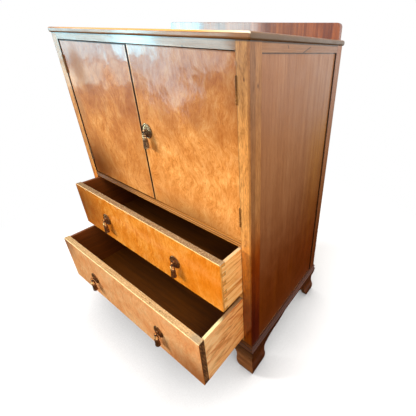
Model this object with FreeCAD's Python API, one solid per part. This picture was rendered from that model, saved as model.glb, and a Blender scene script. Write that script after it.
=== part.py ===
import FreeCAD, Part
import math
import os

# Chifforobe / tallboy: a two-door cupboard over two long drawers, on ogee bracket feet.
# Millimetres. +X is to the right seen from the front, +Y to the back, +Z up.
# Origin: on the floor, under the middle of the carcase. The two drawers stand
# partly open at rest, the doors are shut.

V = FreeCAD.Vector
os.makedirs("parts", exist_ok=True)

# ---------------------------------------------------------------- driving dimensions
W = 914.0            # carcase width (3 ft)
D = 527.0            # carcase depth (1 ft 8 3/4 in)
Z_BASE = 141.0       # bottom of the carcase, top of the feet
Z_MOULD = 177.5      # top of the plinth moulding
Z_TOP_U = 1205.0     # underside of the top board
TOP_T = 17.0         # top board thickness
TOP_OVER = 5.0       # overhang of the top at the front and sides
TOP_OVER_B = 8.0     # overhang of the top at the back
TOP_NOSE_LOW = 5.4   # the edge of the top is a rounded nose
TOP_NOSE_UP = 6.4
GALLERY_H = 53.0     # height of the back upstand
GALLERY_T = 20.0
GALLERY_IN = 11.0    # how far its ends stand in from the carcase sides
GALLERY_R = 13.0     # rounded top corners

POST_W = 39.0        # front and rear posts, seen from the front
POST_FD = 44.0       # front posts, seen from the side
POST_RD = 45.0       # rear posts, seen from the side
SIDE_RAIL_T = 22.0
PANEL_SET = 4.5      # side panel set back from the frame face
PANEL_T = 6.0
PANEL_TONGUE = 6.0   # how far the panel runs into its grooves
Z_PANEL_TOP = 1182.0
Z_PANEL_BOT = 172.0     # below the top of the plinth moulding, which hides the bottom side rail

RAIL_D = 21.5        # depth of the thin front rails
Z_FRIEZE = 1184.5    # underside of the frieze rail
Z_DOOR_RAIL = (638.0, 660.5)
Z_DRAWER_RAIL = (415.0, 440.0)
DRAWER_RAIL_D = 60.0
Z_BOTTOM_RAIL_TOP = 199.0

DOOR_T = 20.0
DOOR_SET = 2.4       # doors stand back from the frame face
DOOR_GAP = 2.0       # over and under the doors
DOOR_GAP_MID = 4.5   # between the two doors
DOOR_GAP_HINGE = 1.5

FRONT_T = 20.7       # drawer front thickness
LAP = 6.7            # wood left in front of the dovetails
TONGUE = 8.0         # hidden tongue that joins the lower drawer's sides to its front
SIDE_T = 12.0        # drawer side thickness
DRAWER_LEN = 478.0   # front face to back of the drawer
DRAWER_BOT_T = 5.0
DRAWER_GAP = 1.5
UP_OUT = 92.2        # how far the upper drawer stands open
LO_OUT = 197.6       # how far the lower drawer stands open
UP_Z = (441.5, 635.5)
LO_Z = (200.5, 413.0)

BACK_T = 5.0         # back panel
FLOOR_T = 16.0       # cupboard floor and shelf
Z_SHELF = 901.0      # underside of the shelf

HANDLE_X = (-213.0, 205.0)   # drawer handles, bored a little left of true
UP_HANDLE_Z = 536.0
LO_HANDLE_Z = 299.5
DOOR_HANDLE = (30.0, 931.0)
PLATE_R = 25.0
POST_OUT = 12.5      # pivot of the drop in front of the wood
PIVOT_UP = 3.0       # pivot of the drop above the middle of the plate
DROP_LEN = 61.0      # pivot to the foot of the drop
DROP_WIDE = 1.35     # width of the drop over its depth

HINGE_L = 63.5       # 2 1/2 in butt hinges
HINGE_Z = (750.0, 1101.0)
KNUCKLE_R = 2.1
PIN_R = 1.05
PIN_HOLE_R = 1.1
HINGE_PROUD = 0.6    # hinge axis in front of the carcase face

XR, XL = W / 2, -W / 2
YF, YB = -D / 2, D / 2
YD = YF + DOOR_SET   # front face of the doors
XI = XR - POST_W     # inner face of the posts
X_PAN = XR - PANEL_SET - PANEL_T   # inner face of the side panels


# ---------------------------------------------------------------- helpers
def box(x0, x1, y0, y1, z0, z1):
    x0, x1 = min(x0, x1), max(x0, x1)
    y0, y1 = min(y0, y1), max(y0, y1)
    return Part.makeBox(x1 - x0, y1 - y0, z1 - z0, V(x0, y0, z0))


def cyl(r, h, base, axis):
    return Part.makeCylinder(r, h, V(*base), V(*axis))


def fuse(shapes):
    out = shapes[0]
    for s in shapes[1:]:
        out = out.fuse(s)
    return out.removeSplitter()


def cut(shape, *tools):
    for t in tools:
        shape = shape.cut(t)
    return shape


def mirror(shape):
    return shape.mirror(V(0, 0, 0), V(1, 0, 0))


def face_of(points):
    """A planar face from points; a list inside the points is run through by a spline."""
    edges = []
    last = None
    first = None
    for p in points:
        if isinstance(p, list):
            pts = [V(*q) for q in p]
            if last is not None and (pts[0] - last).Length > 1e-6:
                edges.append(Part.LineSegment(last, pts[0]).toShape())
            c = Part.BSplineCurve()
            c.interpolate(pts)
            edges.append(c.toShape())
            if first is None:
                first = pts[0]
            last = pts[-1]
        else:
            q = V(*p)
            if last is not None and (q - last).Length > 1e-6:
                edges.append(Part.LineSegment(last, q).toShape())
            if first is None:
                first = q
            last = q
    if (last - first).Length > 1e-6:
        edges.append(Part.LineSegment(last, first).toShape())
    return Part.Face(Part.Wire(edges))


def soften(shape, r, keep):
    """Round the edges for which keep(midpoint, direction) is true."""
    picked = []
    for e in shape.Edges:
        if len(e.Vertexes) < 2:
            continue
        a, b = e.Vertexes[0].Point, e.Vertexes[-1].Point
        mid = (a + b) * 0.5
        d = (b - a)
        if d.Length < 1e-6:
            continue
        d.normalize()
        if keep(mid, d):
            picked.append(e)
    return shape.makeFillet(r, picked) if picked else shape


def near(a, b, t=0.01):
    return abs(a - b) < t


def save(name, shapes):
    if not isinstance(shapes, (list, tuple)):
        shapes = [shapes]
    solids = []
    for s in shapes:
        solids.extend(s.Solids)
    for s in solids:
        if not s.isValid() or s.Volume < 0.5:
            print("CHECK", name, s.isValid(), s.Volume)
    out = solids[0] if len(solids) == 1 else Part.makeCompound(solids)
    out.exportStep("parts/%s.step" % name)


# ---------------------------------------------------------------- carcase frame
rear_rebate = 10.0
back_panel = box(-XI - rear_rebate, XI + rear_rebate, YB - BACK_T, YB, Z_BASE + 9, Z_TOP_U)
panel_r = box(X_PAN, X_PAN + PANEL_T, YF + POST_FD - PANEL_TONGUE, YB - POST_RD + PANEL_TONGUE,
              Z_PANEL_BOT - PANEL_TONGUE, Z_PANEL_TOP + PANEL_TONGUE)

post_fr = box(XI, XR, YF, YF + POST_FD, Z_BASE, Z_TOP_U)
post_fr = soften(post_fr, 2.0, lambda m, d: abs(d.z) > 0.9 and near(m.x, XR) and near(m.y, YF))
post_fr = cut(post_fr, panel_r)
post_rr = box(XI, XR, YB - POST_RD, YB, Z_BASE, Z_TOP_U)
post_rr = soften(post_rr, 1.5, lambda m, d: abs(d.z) > 0.9 and near(m.x, XR) and near(m.y, YB))
post_rr = cut(post_rr, panel_r, back_panel)

y_s0, y_s1 = YF + POST_FD, YB - POST_RD
side_top = cut(box(XR - SIDE_RAIL_T, XR, y_s0, y_s1, Z_PANEL_TOP, Z_TOP_U), panel_r)
side_bot = cut(box(XR - SIDE_RAIL_T, XR, y_s0, y_s1, Z_BASE, Z_PANEL_BOT), panel_r)

frieze = box(-XI, XI, YF, YF + RAIL_D, Z_FRIEZE, Z_TOP_U)
door_rail = box(-XI, XI, YF, YF + RAIL_D, *Z_DOOR_RAIL)
for zg in (644.6, 653.4):
    g = face_of([(-XI - 1, YF - 0.5, zg - 1.5), (-XI - 1, YF + 1.5, zg), (-XI - 1, YF - 0.5, zg + 1.5)])
    door_rail = door_rail.cut(g.extrude(V(2 * XI + 2, 0, 0)))
drawer_rail = box(-XI, XI, YF, YF + DRAWER_RAIL_D, *Z_DRAWER_RAIL)
bottom_rail = box(-XI, XI, YF, YF + RAIL_D, Z_BASE, Z_BOTTOM_RAIL_TOP)

y_br0, y_br1 = YB - BACK_T - 20.0, YB - BACK_T
back_rails = [
    box(-XI, XI, y_br0, y_br1, Z_TOP_U - 45, Z_TOP_U),
    box(-XI, XI, y_br0, y_br1, 604.5, 644.5),
    box(-XI, XI, y_br0, y_br1, Z_BASE, Z_BASE + 45),
]

# ---------------------------------------------------------------- inside the carcase
z_fl1 = Z_DOOR_RAIL[1]
z_fl0 = z_fl1 - FLOOR_T
floor_board = fuse([
    box(-XI, XI, YF + RAIL_D, YB - BACK_T, z_fl0, z_fl1),
    box(-X_PAN, X_PAN, YF + POST_FD, YB - POST_RD, z_fl0, z_fl1),
])
shelf = box(-X_PAN + 0.5, X_PAN - 0.5, YF + POST_FD + 6, YB - POST_RD - 1, Z_SHELF, Z_SHELF + FLOOR_T)
shelf = soften(shelf, 1.5, lambda m, d: abs(d.x) > 0.9 and near(m.y, YF + POST_FD + 6))
X_RUN = XI - 22.0
floor_bearer = box(X_RUN, X_PAN, YF + POST_FD, YB - POST_RD, z_fl0 - 10, z_fl0)
shelf_bearer = box(X_PAN - 20, X_PAN, YF + POST_FD + 6, YB - POST_RD - 1, Z_SHELF - 20, Z_SHELF)
bearers = [floor_bearer, mirror(floor_bearer), shelf_bearer, mirror(shelf_bearer)]

up_run = fuse([box(X_RUN, X_PAN, YF + DRAWER_RAIL_D, YB - POST_RD, *Z_DRAWER_RAIL),
               box(X_RUN, XI, YB - POST_RD, y_br0, *Z_DRAWER_RAIL)])
lo_z = (Z_PANEL_BOT, Z_BOTTOM_RAIL_TOP)
lo_run = fuse([box(X_RUN, X_PAN, YF + POST_FD, YB - POST_RD, *lo_z),
               box(X_RUN, XI, YF + RAIL_D, YF + POST_FD, *lo_z),
               box(X_RUN, XI, YB - POST_RD, y_br0, *lo_z)])
runners = [up_run, mirror(up_run), lo_run, mirror(lo_run)]
guides = []
for z0 in (Z_DRAWER_RAIL[1], Z_BOTTOM_RAIL_TOP):
    g = box(XI - 0.5, X_PAN, YF + POST_FD, YB - POST_RD, z0, z0 + 20)
    guides += [g, mirror(g)]

stops = []
for s in (-1, 1):
    # upper drawer stops on the drawer rail
    stops.append(box(s * 130, s * 170, YF + FRONT_T + 0.5, YF + FRONT_T + 20, Z_DRAWER_RAIL[1], Z_DRAWER_RAIL[1] + 6))
    # lower drawer stops, glued to the inner faces of the runners behind the bottom rail
    stops.append(box(s * (X_RUN - 30), s * X_RUN, YF + FRONT_T + 0.8, YF + FRONT_T + 30,
                     Z_BOTTOM_RAIL_TOP - 16, Z_BOTTOM_RAIL_TOP + 6))
    # door stops on the cupboard floor
    stops.append(box(s * 45, s * 85, YD + DOOR_T + 0.6, YD + DOOR_T + 14, z_fl1, z_fl1 + 9))

# ---------------------------------------------------------------- top and gallery
top = box(XL - TOP_OVER, XR + TOP_OVER, YF - TOP_OVER, YB + TOP_OVER_B, Z_TOP_U, Z_TOP_U + TOP_T)


top = soften(top, 4.0, lambda m, d: abs(d.z) > 0.9)
low_edges = [e for e in top.Edges if e.BoundBox.ZMax < Z_TOP_U + 0.01 and e.BoundBox.YMin < YB + TOP_OVER_B - 0.1]
top = top.makeFillet(TOP_NOSE_LOW, low_edges)
up_edges = [e for e in top.Edges if e.BoundBox.ZMin > Z_TOP_U + TOP_T - 0.01 and e.BoundBox.YMin < YB + TOP_OVER_B - 0.1]
top = top.makeFillet(TOP_NOSE_UP, up_edges)

z_g0 = Z_TOP_U + TOP_T
g_x = XR - GALLERY_IN
gallery = box(-g_x, g_x, YB + TOP_OVER_B - GALLERY_T - 1.0, YB + TOP_OVER_B - 1.0, z_g0, z_g0 + GALLERY_H)
gallery = soften(gallery, GALLERY_R, lambda m, d: abs(d.y) > 0.9 and near(m.z, z_g0 + GALLERY_H))
gallery = gallery.makeFillet(1.6, [e for e in gallery.Edges
                                   if e.BoundBox.ZMax > z_g0 + 1 and
                                   (near(e.BoundBox.YMin, e.BoundBox.YMax, 1e-3))])

# ---------------------------------------------------------------- plinth moulding
PM = 60.0
front_zone = face_of([(-(XR - PM), YF + PM, 0), (XR - PM, YF + PM, 0), (XR + 50, YF - 50, 0),
                      (-XR - 50, YF - 50, 0)]).extrude(V(0, 0, 400))
right_zone = face_of([(XR - PM, YF + PM, 0), (XR + 50, YF - 50, 0), (XR + 50, YB, 0),
                      (XR - PM, YB, 0)]).extrude(V(0, 0, 400))


def mould_points(to3):
    """Two deep quirks with a bead between them, over a half-round nose."""
    z0 = Z_BASE
    return [to3(0, z0),
            [to3(8.8, z0), to3(9.9, z0 + 2.6), to3(10.7, z0 + 6.4), to3(10.3, z0 + 10.2), to3(8.8, z0 + 13.0),
             to3(6.6, z0 + 14.2)],
            to3(5.4, z0 + 14.6), to3(3.2, z0 + 17.4), to3(3.2, z0 + 20.8),
            [to3(3.6, z0 + 21.0), to3(5.6, z0 + 21.5), to3(7.2, z0 + 23.8), to3(7.2, z0 + 26.6), to3(5.6, z0 + 28.9),
             to3(3.2, z0 + 29.7)],
            to3(1.6, z0 + 30.2), to3(1.0, Z_MOULD), to3(0, Z_MOULD)]


mould_side = face_of(mould_points(lambda p, z: (XR + p, YF - 40, z))).extrude(V(0, D + 40, 0)).common(right_zone)
mould_front = face_of(mould_points(lambda p, z: (XL - 40, YF - p, z))).extrude(V(W + 80, 0, 0)).common(front_zone)

# ---------------------------------------------------------------- ogee bracket feet
FOOT_BACK = -19.0    # inner face of the foot brackets, from the carcase face
OGEE = [(3.2, 0.0), (6.2, 9.0), (7.4, 22.0), (5.4, 37.0), (-0.6, 52.0), (-4.0, 67.0),
        (-4.2, 81.0), (-0.6, 97.0), (4.4, 113.0), (7.7, 128.0), (8.8, 141.0)]
# inner edge of each bracket: distance from the corner of the carcase, height
INNER_SIDE = [(70.0, 0.0), (74.0, 12.0), (78.0, 25.0), (80.5, 38.0), (82.5, 50.0), (89.0, 61.0), (104.0, 70.0),
              (125.0, 78.5), (143.0, 88.0), (158.0, 101.0), (175.0, 115.0), (199.0, 129.0), (226.0, 141.0)]
INNER_FRONT = [(58.0, 0.0), (66.0, 10.0), (73.5, 24.0), (78.0, 38.0), (80.5, 51.0), (85.0, 62.0), (94.0, 72.0),
               (108.0, 83.0), (126.0, 95.0), (146.0, 110.0), (168.0, 126.0), (188.0, 141.0)]
INNER_REAR = [(46.0, 0.0), (59.0, 4.5), (68.0, 13.0), (75.0, 25.0), (80.5, 38.0), (85.0, 51.0), (89.0, 62.0), (94.0, 73.0),
              (101.0, 85.0), (112.0, 98.0), (128.0, 112.0), (148.0, 126.0), (168.0, 141.0)]


def ogee_section(to3):
    return face_of([to3(FOOT_BACK, 0), [to3(p, z) for p, z in OGEE], to3(FOOT_BACK, Z_BASE)])


def foot_elevation(to3, start, inner):
    return face_of([to3(start, 0), [to3(l, z) for l, z in inner], to3(start, Z_BASE)])


sec_side = ogee_section(lambda p, z: (XR + p, YF - 30, z)).extrude(V(0, D + 60, 0))
sec_front = ogee_section(lambda p, z: (-XR - 40, YF - p, z)).extrude(V(W + 80, 0, 0))
ele_side_f = foot_elevation(lambda l, z: (XR - 60, YF + l, z), -30, INNER_SIDE).extrude(V(100, 0, 0))
ele_side_r = foot_elevation(lambda l, z: (XR - 60, YB - l, z), 0, INNER_REAR).extrude(V(100, 0, 0))
ele_front = foot_elevation(lambda l, z: (XR - l, YF - 60, z), -30, INNER_FRONT).extrude(V(0, 100, 0))
foot_fr_side = sec_side.common(ele_side_f).common(right_zone)
foot_fr_front = sec_front.common(ele_front).common(front_zone)
foot_rr_side = sec_side.common(ele_side_r)
x_b = XR + FOOT_BACK
foot_rr_back = face_of([(x_b, YB - 16, 0), (x_b - 46, YB - 16, 0), (x_b - 58, YB - 16, 40), (x_b - 110, YB - 16, 110),
                        (x_b - 120, YB - 16, Z_BASE), (x_b, YB - 16, Z_BASE)]).extrude(V(0, 16, 0))
blk = 38.0
block_f = box(x_b - blk, x_b, YF - FOOT_BACK, YF - FOOT_BACK + blk, 10, Z_BASE)
block_r = box(x_b - blk, x_b, YB - 16 - blk, YB - 16, 10, Z_BASE)

# ---------------------------------------------------------------- doors
dz0, dz1 = z_fl1 + DOOR_GAP, Z_FRIEZE - DOOR_GAP
door_r = box(DOOR_GAP_MID / 2, XI - DOOR_GAP_HINGE, YD, YD + DOOR_T, dz0, dz1)
door_r = soften(door_r, 1.0, lambda m, d: near(m.y, YD))
door_l = mirror(door_r)

# hinges, drawn for the right door and mirrored for the left
hx, hy = XI - DOOR_GAP_HINGE / 2, YF - HINGE_PROUD
seg = (HINGE_L - 4 * 0.25) / 5
fixed_leaves, door_leaves, pins, fixed_screws, door_screws, barrel_room = [], [], [], [], [], []
for zc in HINGE_Z:
    z0 = zc - HINGE_L / 2
    leaf_f = [box(hx + 0.2, hx + 1.8, hy + KNUCKLE_R + 0.3, YF + 17, z0, z0 + HINGE_L)]
    leaf_d = [box(hx - 1.8, hx - 0.2, hy + KNUCKLE_R + 0.3, YF + 17, z0, z0 + HINGE_L)]
    for i in range(5):
        za = z0 + i * (seg + 0.25)
        ring = cyl(KNUCKLE_R, seg, (hx, hy, za), (0, 0, 1))
        if i % 2 == 0:
            leaf_f += [ring, box(hx + 0.2, hx + 1.8, hy, YF + 3, za, za + seg)]
        else:
            leaf_d += [ring, box(hx - 1.8, hx - 0.2, hy, YF + 3, za, za + seg)]
    bore = cyl(PIN_HOLE_R, HINGE_L + 2, (hx, hy, z0 - 1), (0, 0, 1))
    leaf_f = fuse(leaf_f).cut(bore)
    leaf_d = fuse(leaf_d).cut(bore)
    pin = cyl(PIN_R, HINGE_L, (hx, hy, z0), (0, 0, 1))
    pin = pin.fuse(cyl(1.8, 0.9, (hx, hy, z0 + HINGE_L + 0.05), (0, 0, 1))).fuse(
        cyl(PIN_R, 0.1, (hx, hy, z0 + HINGE_L - 0.02), (0, 0, 1))).removeSplitter()
    pins.append(pin)
    barrel_room.append(cyl(KNUCKLE_R + 0.3, HINGE_L + 2.4, (hx, hy, z0 - 0.6), (0, 0, 1)))
    for k, (dy, dz) in enumerate(((7.5, -23.0), (11.5, 0.0), (7.5, 23.0))):
        def screw(x, sgn):
            head = Part.makeCone(3.0, 1.5, 1.6, V(x, YF + dy, zc + dz), V(sgn, 0, 0))
            return head.fuse(cyl(1.5, 13.0, (x + sgn * 1.5, YF + dy, zc + dz), (sgn, 0, 0))).removeSplitter()
        sf, sd = screw(hx + 0.2, 1), screw(hx - 0.2, -1)
        fixed_screws.append(sf)
        door_screws.append(sd)
        leaf_f, leaf_d = leaf_f.cut(sf), leaf_d.cut(sd)
    fixed_leaves.append(leaf_f)
    door_leaves.append(leaf_d)
post_fr = cut(post_fr, *barrel_room, *fixed_leaves, *fixed_screws)
door_r = cut(door_r, *door_leaves, *door_screws)
post_fl = mirror(post_fr)
door_l = mirror(door_r)

# ball catch in the top edge of the right door, and its striking plate in the frieze
bx, by = 30.0, YD + DOOR_T / 2
catch_hole = cyl(5.5, 16.0, (bx, by, dz1 - 16.0), (0, 0, 1))
catch_case = cut(catch_hole, cyl(4.3, 14.6, (bx, by, dz1 - 15.0), (0, 0, 1)), cyl(3.45, 2.0, (bx, by, dz1 - 1.0), (0, 0, 1)))
catch_ball = Part.makeSphere(4.0, V(bx, by, dz1 + 1.2 - 4.0))
# its spring, between the foot of the case and the ball
sp_z0, sp_h, sp_r, wire = dz1 - 15.0 + 0.35, 7.3, 2.6, 0.3
helix = Part.makeHelix(sp_h / 5.0, sp_h, sp_r)
ring = Part.Wire(Part.makeCircle(wire, V(sp_r, 0, 0), V(0, 1, 0)))
spring = Part.Wire(helix.Edges).makePipeShell([ring], True, True)
spring.translate(V(bx, by, sp_z0))
door_r = door_r.cut(catch_hole)
strike = box(bx - 13, bx + 13, by - 6, by + 6, Z_FRIEZE, Z_FRIEZE + 1.0)
frieze = frieze.cut(strike)

# barrel bolt on the inner face of the left door; it shoots up behind the frieze
bo_x, bo_y = -22.0, YD + DOOR_T + 5.2
bolt_rod = cyl(3.0, 66.0, (bo_x, bo_y, dz1 - 68.0), (0, 0, 1))
bolt_knob = cyl(2.2, 7.0, (bo_x, bo_y + 2.0, dz1 - 36.0), (0, 1, 0)).fuse(
    Part.makeSphere(3.4, V(bo_x, bo_y + 10.5, dz1 - 36.0)))
bolt = bolt_rod.fuse(bolt_knob).removeSplitter()
bolt_plate = box(bo_x - 10, bo_x + 10, YD + DOOR_T, YD + DOOR_T + 1.5, dz1 - 72, dz1 - 4)
bolt_guides = []
for z0, h in ((dz1 - 14, 8.0), (dz1 - 66, 8.0)):
    g = box(bo_x - 5.5, bo_x + 5.5, YD + DOOR_T + 1.0, bo_y + 5.0, z0, z0 + h)
    bolt_guides.append(g)
bolt_case = fuse([bolt_plate] + bolt_guides).cut(cyl(3.1, 90, (bo_x, bo_y, dz1 - 85), (0, 0, 1)))


# ---------------------------------------------------------------- drawers
def drawer(out, z, y_tail):
    """With y_tail lapped dovetails at the front, or a hidden tongue if y_tail is 0."""
    y0 = YF - out
    z0, z1 = z
    xw = XI - DRAWER_GAP
    front = box(-xw, xw, y0, y0 + FRONT_T, z0, z1)
    front = soften(front, 1.2, lambda m, d: near(m.y, y0))
    zs0, zs1 = z0 - 1.0, z1 - 2.5
    side = box(xw - SIDE_T, xw, y0 + FRONT_T, y0 + DRAWER_LEN, zs0, zs1)
    # lapped dovetails: the tails are on the side, the sockets in the front
    n = y_tail
    edge = 7.0
    pin_w = 9.0
    run = (zs1 - zs0) - 2 * edge - 2.0
    tail = (run - (n - 1) * pin_w) / max(n, 1)
    tails = []
    if n == 0:
        tails.append(box(xw - SIDE_T, xw - SIDE_T / 2, y0 + FRONT_T - TONGUE, y0 + FRONT_T, z0 + 10, zs1 - 10))
    slope = (FRONT_T - LAP) / 6.0
    for i in range(n):
        a = zs0 + 2.0 + edge + i * (tail + pin_w)
        b = a + tail
        f = face_of([(xw - SIDE_T, y0 + FRONT_T, a + slope / 2), (xw - SIDE_T, y0 + LAP, a - slope / 2),
                     (xw - SIDE_T, y0 + LAP, b + slope / 2), (xw - SIDE_T, y0 + FRONT_T, b - slope / 2)])
        tails.append(f.extrude(V(SIDE_T, 0, 0)))
    side = fuse([side] + tails)
    zb0 = zs0 + 9.0
    bottom = box(-xw + SIDE_T - 5, xw - SIDE_T + 5, y0 + FRONT_T - 6, y0 + DRAWER_LEN, zb0, zb0 + DRAWER_BOT_T)
    side = side.cut(bottom)
    side = soften(side, 1.5, lambda m, d: abs(d.y) > 0.9 and near(m.z, zs1) and m.y > y0 + FRONT_T + 20)
    side_l = mirror(side)
    front = cut(front, side, side_l, bottom)
    back = box(-xw + SIDE_T, xw - SIDE_T, y0 + DRAWER_LEN - 12, y0 + DRAWER_LEN, zb0 + DRAWER_BOT_T, zs1 - 9)
    return front, [side_l, side], back, bottom, y0


up_front, up_sides, up_back, up_bottom, up_y = drawer(UP_OUT, UP_Z, 5)
lo_front, lo_sides, lo_back, lo_bottom, lo_y = drawer(LO_OUT, LO_Z, 0)


# ---------------------------------------------------------------- drop handles
def revolve_z(points, x, y, z):
    """Points are (radius, height) about a vertical axis through (x, y, z); a list is run through by a spline."""
    f = face_of([[(x + r, y, z + h) for r, h in p] if isinstance(p, list) else (x + p[0], y, z + p[1]) for p in points])
    return f.revolve(V(x, y, z), V(0, 0, 1), 360)


def revolve_y(points, x, y, z):
    """Points are (radius, distance out) about an axis along -Y through (x, y, z)."""
    f = face_of([(x + r, y - o, z) for r, o in points])
    return f.revolve(V(x, y, z), V(0, 1, 0), 360)


def handle(x, y, zp, wood):
    """A stamped plate, a beaded post with its nut, the cross pin and the hanging drop."""
    plate = revolve_y([(2.3, 0.0), (PLATE_R, 0.0), (PLATE_R, 1.0), (PLATE_R - 1.4, 2.6), (PLATE_R - 3.0, 2.8),
                       (PLATE_R - 4.2, 1.9), (PLATE_R - 6.5, 2.6), (14.5, 3.5), (9.5, 3.9), (8.6, 4.2), (2.3, 4.4)],
                      x, y, zp)
    z = zp + PIVOT_UP
    plate = plate.cut(cyl(2.3, 8, (x, y + 1, z), (0, -1, 0)))
    py = y - POST_OUT
    post = revolve_y([(0, -wood - 7.0), (2.2, -wood - 7.0), (2.2, 4.5), (4.6, 4.5), (5.0, 5.5), (4.4, 6.5), (3.1, 7.1),
                      (3.1, 9.0), (0, 9.0)], x, y, z)
    ball = Part.makeSphere(4.7, V(x, py, z))
    post = post.fuse(ball).removeSplitter()
    post = post.cut(box(x - 1.3, x + 1.3, py - 6, py + 3.6, z - 6, z + 3.2))
    pin = cyl(0.8, 8.4, (x - 4.2, py, z), (1, 0, 0))
    post = post.cut(pin)
    nut = Part.makePolygon([V(x + 5.5 * math.cos(math.radians(60 * i)), y + wood,
                              z + 5.5 * math.sin(math.radians(60 * i))) for i in range(7)])
    nut = Part.Face(nut).extrude(V(0, 3.5, 0)).cut(cyl(2.2, 10, (x, y + wood - 2, z), (0, 1, 0)))
    # the drop: an eye on the pin, three beads and a bell-shaped foot, all wider than they are deep
    eye = cyl(2.9, 2.0, (x - 1.0, py, z), (1, 0, 0)).fuse(box(x - 1.0, x + 1.0, py - 1.4, py + 1.4, z - 6.2, z))
    body = revolve_z([(0, -5.2), (1.4, -5.2), (1.8, -6.4),
                      [(1.8, -6.6), (3.6, -7.2), (4.6, -8.8), (3.9, -10.4), (2.8, -10.9)], (2.8, -11.5),
                      [(2.8, -11.5), (5.0, -12.4), (5.9, -14.4), (5.0, -16.4), (3.7, -17.1)], (3.7, -17.8),
                      [(3.7, -17.8), (5.8, -18.8), (6.7, -21.2), (5.8, -23.6), (4.6, -24.3)], (4.8, -25.2),
                      [(4.8, -25.2), (6.3, -27.2), (6.9, -31.5), (7.1, -38.0), (7.5, -46.0), (8.0, -52.0), (8.5, -56.6)],
                      (8.5, -58.2), (7.6, -59.6), (0, 0.2 - DROP_LEN)], x, py, z)
    wide = FreeCAD.Matrix()
    wide.move(V(-x, 0, 0))
    wide.scale(DROP_WIDE, 1.0, 1.0)
    wide.move(V(x, 0, 0))
    body = body.transformGeometry(wide)
    drop = fuse([eye, body]).cut(cyl(0.86, 12, (x - 6, py, z), (1, 0, 0)))
    hole = cyl(2.2, wood + 4, (x, y - 2, z), (0, 1, 0))
    return plate, post, pin, nut, drop, hole


up_mounts, lo_mounts, up_drops, lo_drops = [], [], [], []
for hxc in HANDLE_X:
    plate, post, pin, nut, drop, hole = handle(hxc, up_y, UP_HANDLE_Z, FRONT_T)
    up_front = up_front.cut(hole)
    up_mounts += [plate, post, pin, nut]
    up_drops.append(drop)
    plate, post, pin, nut, drop, hole = handle(hxc, lo_y, LO_HANDLE_Z, FRONT_T)
    lo_front = lo_front.cut(hole)
    lo_mounts += [plate, post, pin, nut]
    lo_drops.append(drop)
d_plate, d_post, d_pin, d_nut, door_drop, hole = handle(DOOR_HANDLE[0], YD, DOOR_HANDLE[1], DOOR_T)
door_r = door_r.cut(hole)

# screws through the back panel into the frame
back_screws = []
pts = [(x, z) for x in (-424.0, 424.0) for z in (190.0, 420.0, 700.0, 940.0, 1150.0)]
pts += [(x, z) for x in (-210.0, 210.0) for z in (165.0, 625.0, 1185.0)]
for x, z in pts:
    s = Part.makeCone(3.0, 1.5, 1.6, V(x, YB, z), V(0, -1, 0)).fuse(
        cyl(1.5, 15.0, (x, YB - 1.5, z), (0, -1, 0))).removeSplitter()
    back_screws.append(s)
back_panel = cut(back_panel, *back_screws)
post_rr = cut(post_rr, *back_screws)
back_rails = [cut(r, *back_screws) for r in back_rails]

# ---------------------------------------------------------------- write the parts
save("top_board", top)
save("back_gallery", gallery)
save("post_front_left", post_fl)
save("post_front_right", post_fr)
save("post_rear_left", mirror(post_rr))
save("post_rear_right", post_rr)
save("side_panel_left", mirror(panel_r))
save("side_panel_right", panel_r)
save("side_rails_left", [mirror(side_top), mirror(side_bot)])
save("side_rails_right", [side_top, side_bot])
save("frieze_rail", frieze)
save("door_rail", door_rail)
save("drawer_rail", drawer_rail)
save("bottom_rail", bottom_rail)
save("back_rails", back_rails)
save("back_panel", back_panel)
save("cupboard_floor", floor_board)
save("cupboard_shelf", shelf)
save("bearers", bearers)
save("drawer_runners", runners)
save("drawer_guides", guides)
save("closing_stops", stops)
save("plinth_mould_front", mould_front)
save("plinth_mould_left", mirror(mould_side))
save("plinth_mould_right", mould_side)
save("foot_front_left", [mirror(foot_fr_side), mirror(foot_fr_front)])
save("foot_front_right", [foot_fr_side, foot_fr_front])
save("foot_rear_left", [mirror(foot_rr_side), mirror(foot_rr_back)])
save("foot_rear_right", [foot_rr_side, foot_rr_back])
save("glue_blocks", [block_f, mirror(block_f), block_r, mirror(block_r)])
save("hinge_fixed_leaves", fixed_leaves + [mirror(s) for s in fixed_leaves])
save("carcase_screws", fixed_screws + [mirror(s) for s in fixed_screws] + back_screws)
save("catch_strike_plate", strike)
save("door_left", door_l)
save("hinge_leaves_pins_left", [mirror(s) for s in door_leaves + pins])
save("hinge_screws_left", [mirror(s) for s in door_screws])
save("bolt_case", bolt_case)
save("bolt", bolt)
save("door_right", door_r)
save("hinge_leaves_pins_right", door_leaves + pins)
save("hinge_screws_right", door_screws)
save("catch_case", catch_case)
save("catch_ball", catch_ball)
save("catch_spring", spring)
save("door_handle_mount", [d_plate, d_post, d_pin, d_nut])
save("door_handle_drop", door_drop)
save("upper_drawer_front", up_front)
save("upper_drawer_sides", up_sides)
save("upper_drawer_back", up_back)
save("upper_drawer_bottom", up_bottom)
save("upper_handle_mounts", up_mounts)
save("upper_drop_left", up_drops[0])
save("upper_drop_right", up_drops[1])
save("lower_drawer_front", lo_front)
save("lower_drawer_sides", lo_sides)
save("lower_drawer_back", lo_back)
save("lower_drawer_bottom", lo_bottom)
save("lower_handle_mounts", lo_mounts)
save("lower_drop_left", lo_drops[0])
save("lower_drop_right", lo_drops[1])
print("parts written:", len(os.listdir("parts")))
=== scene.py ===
import bpy
import bmesh
import math
import random
from mathutils import Matrix, Quaternion, Vector


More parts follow.
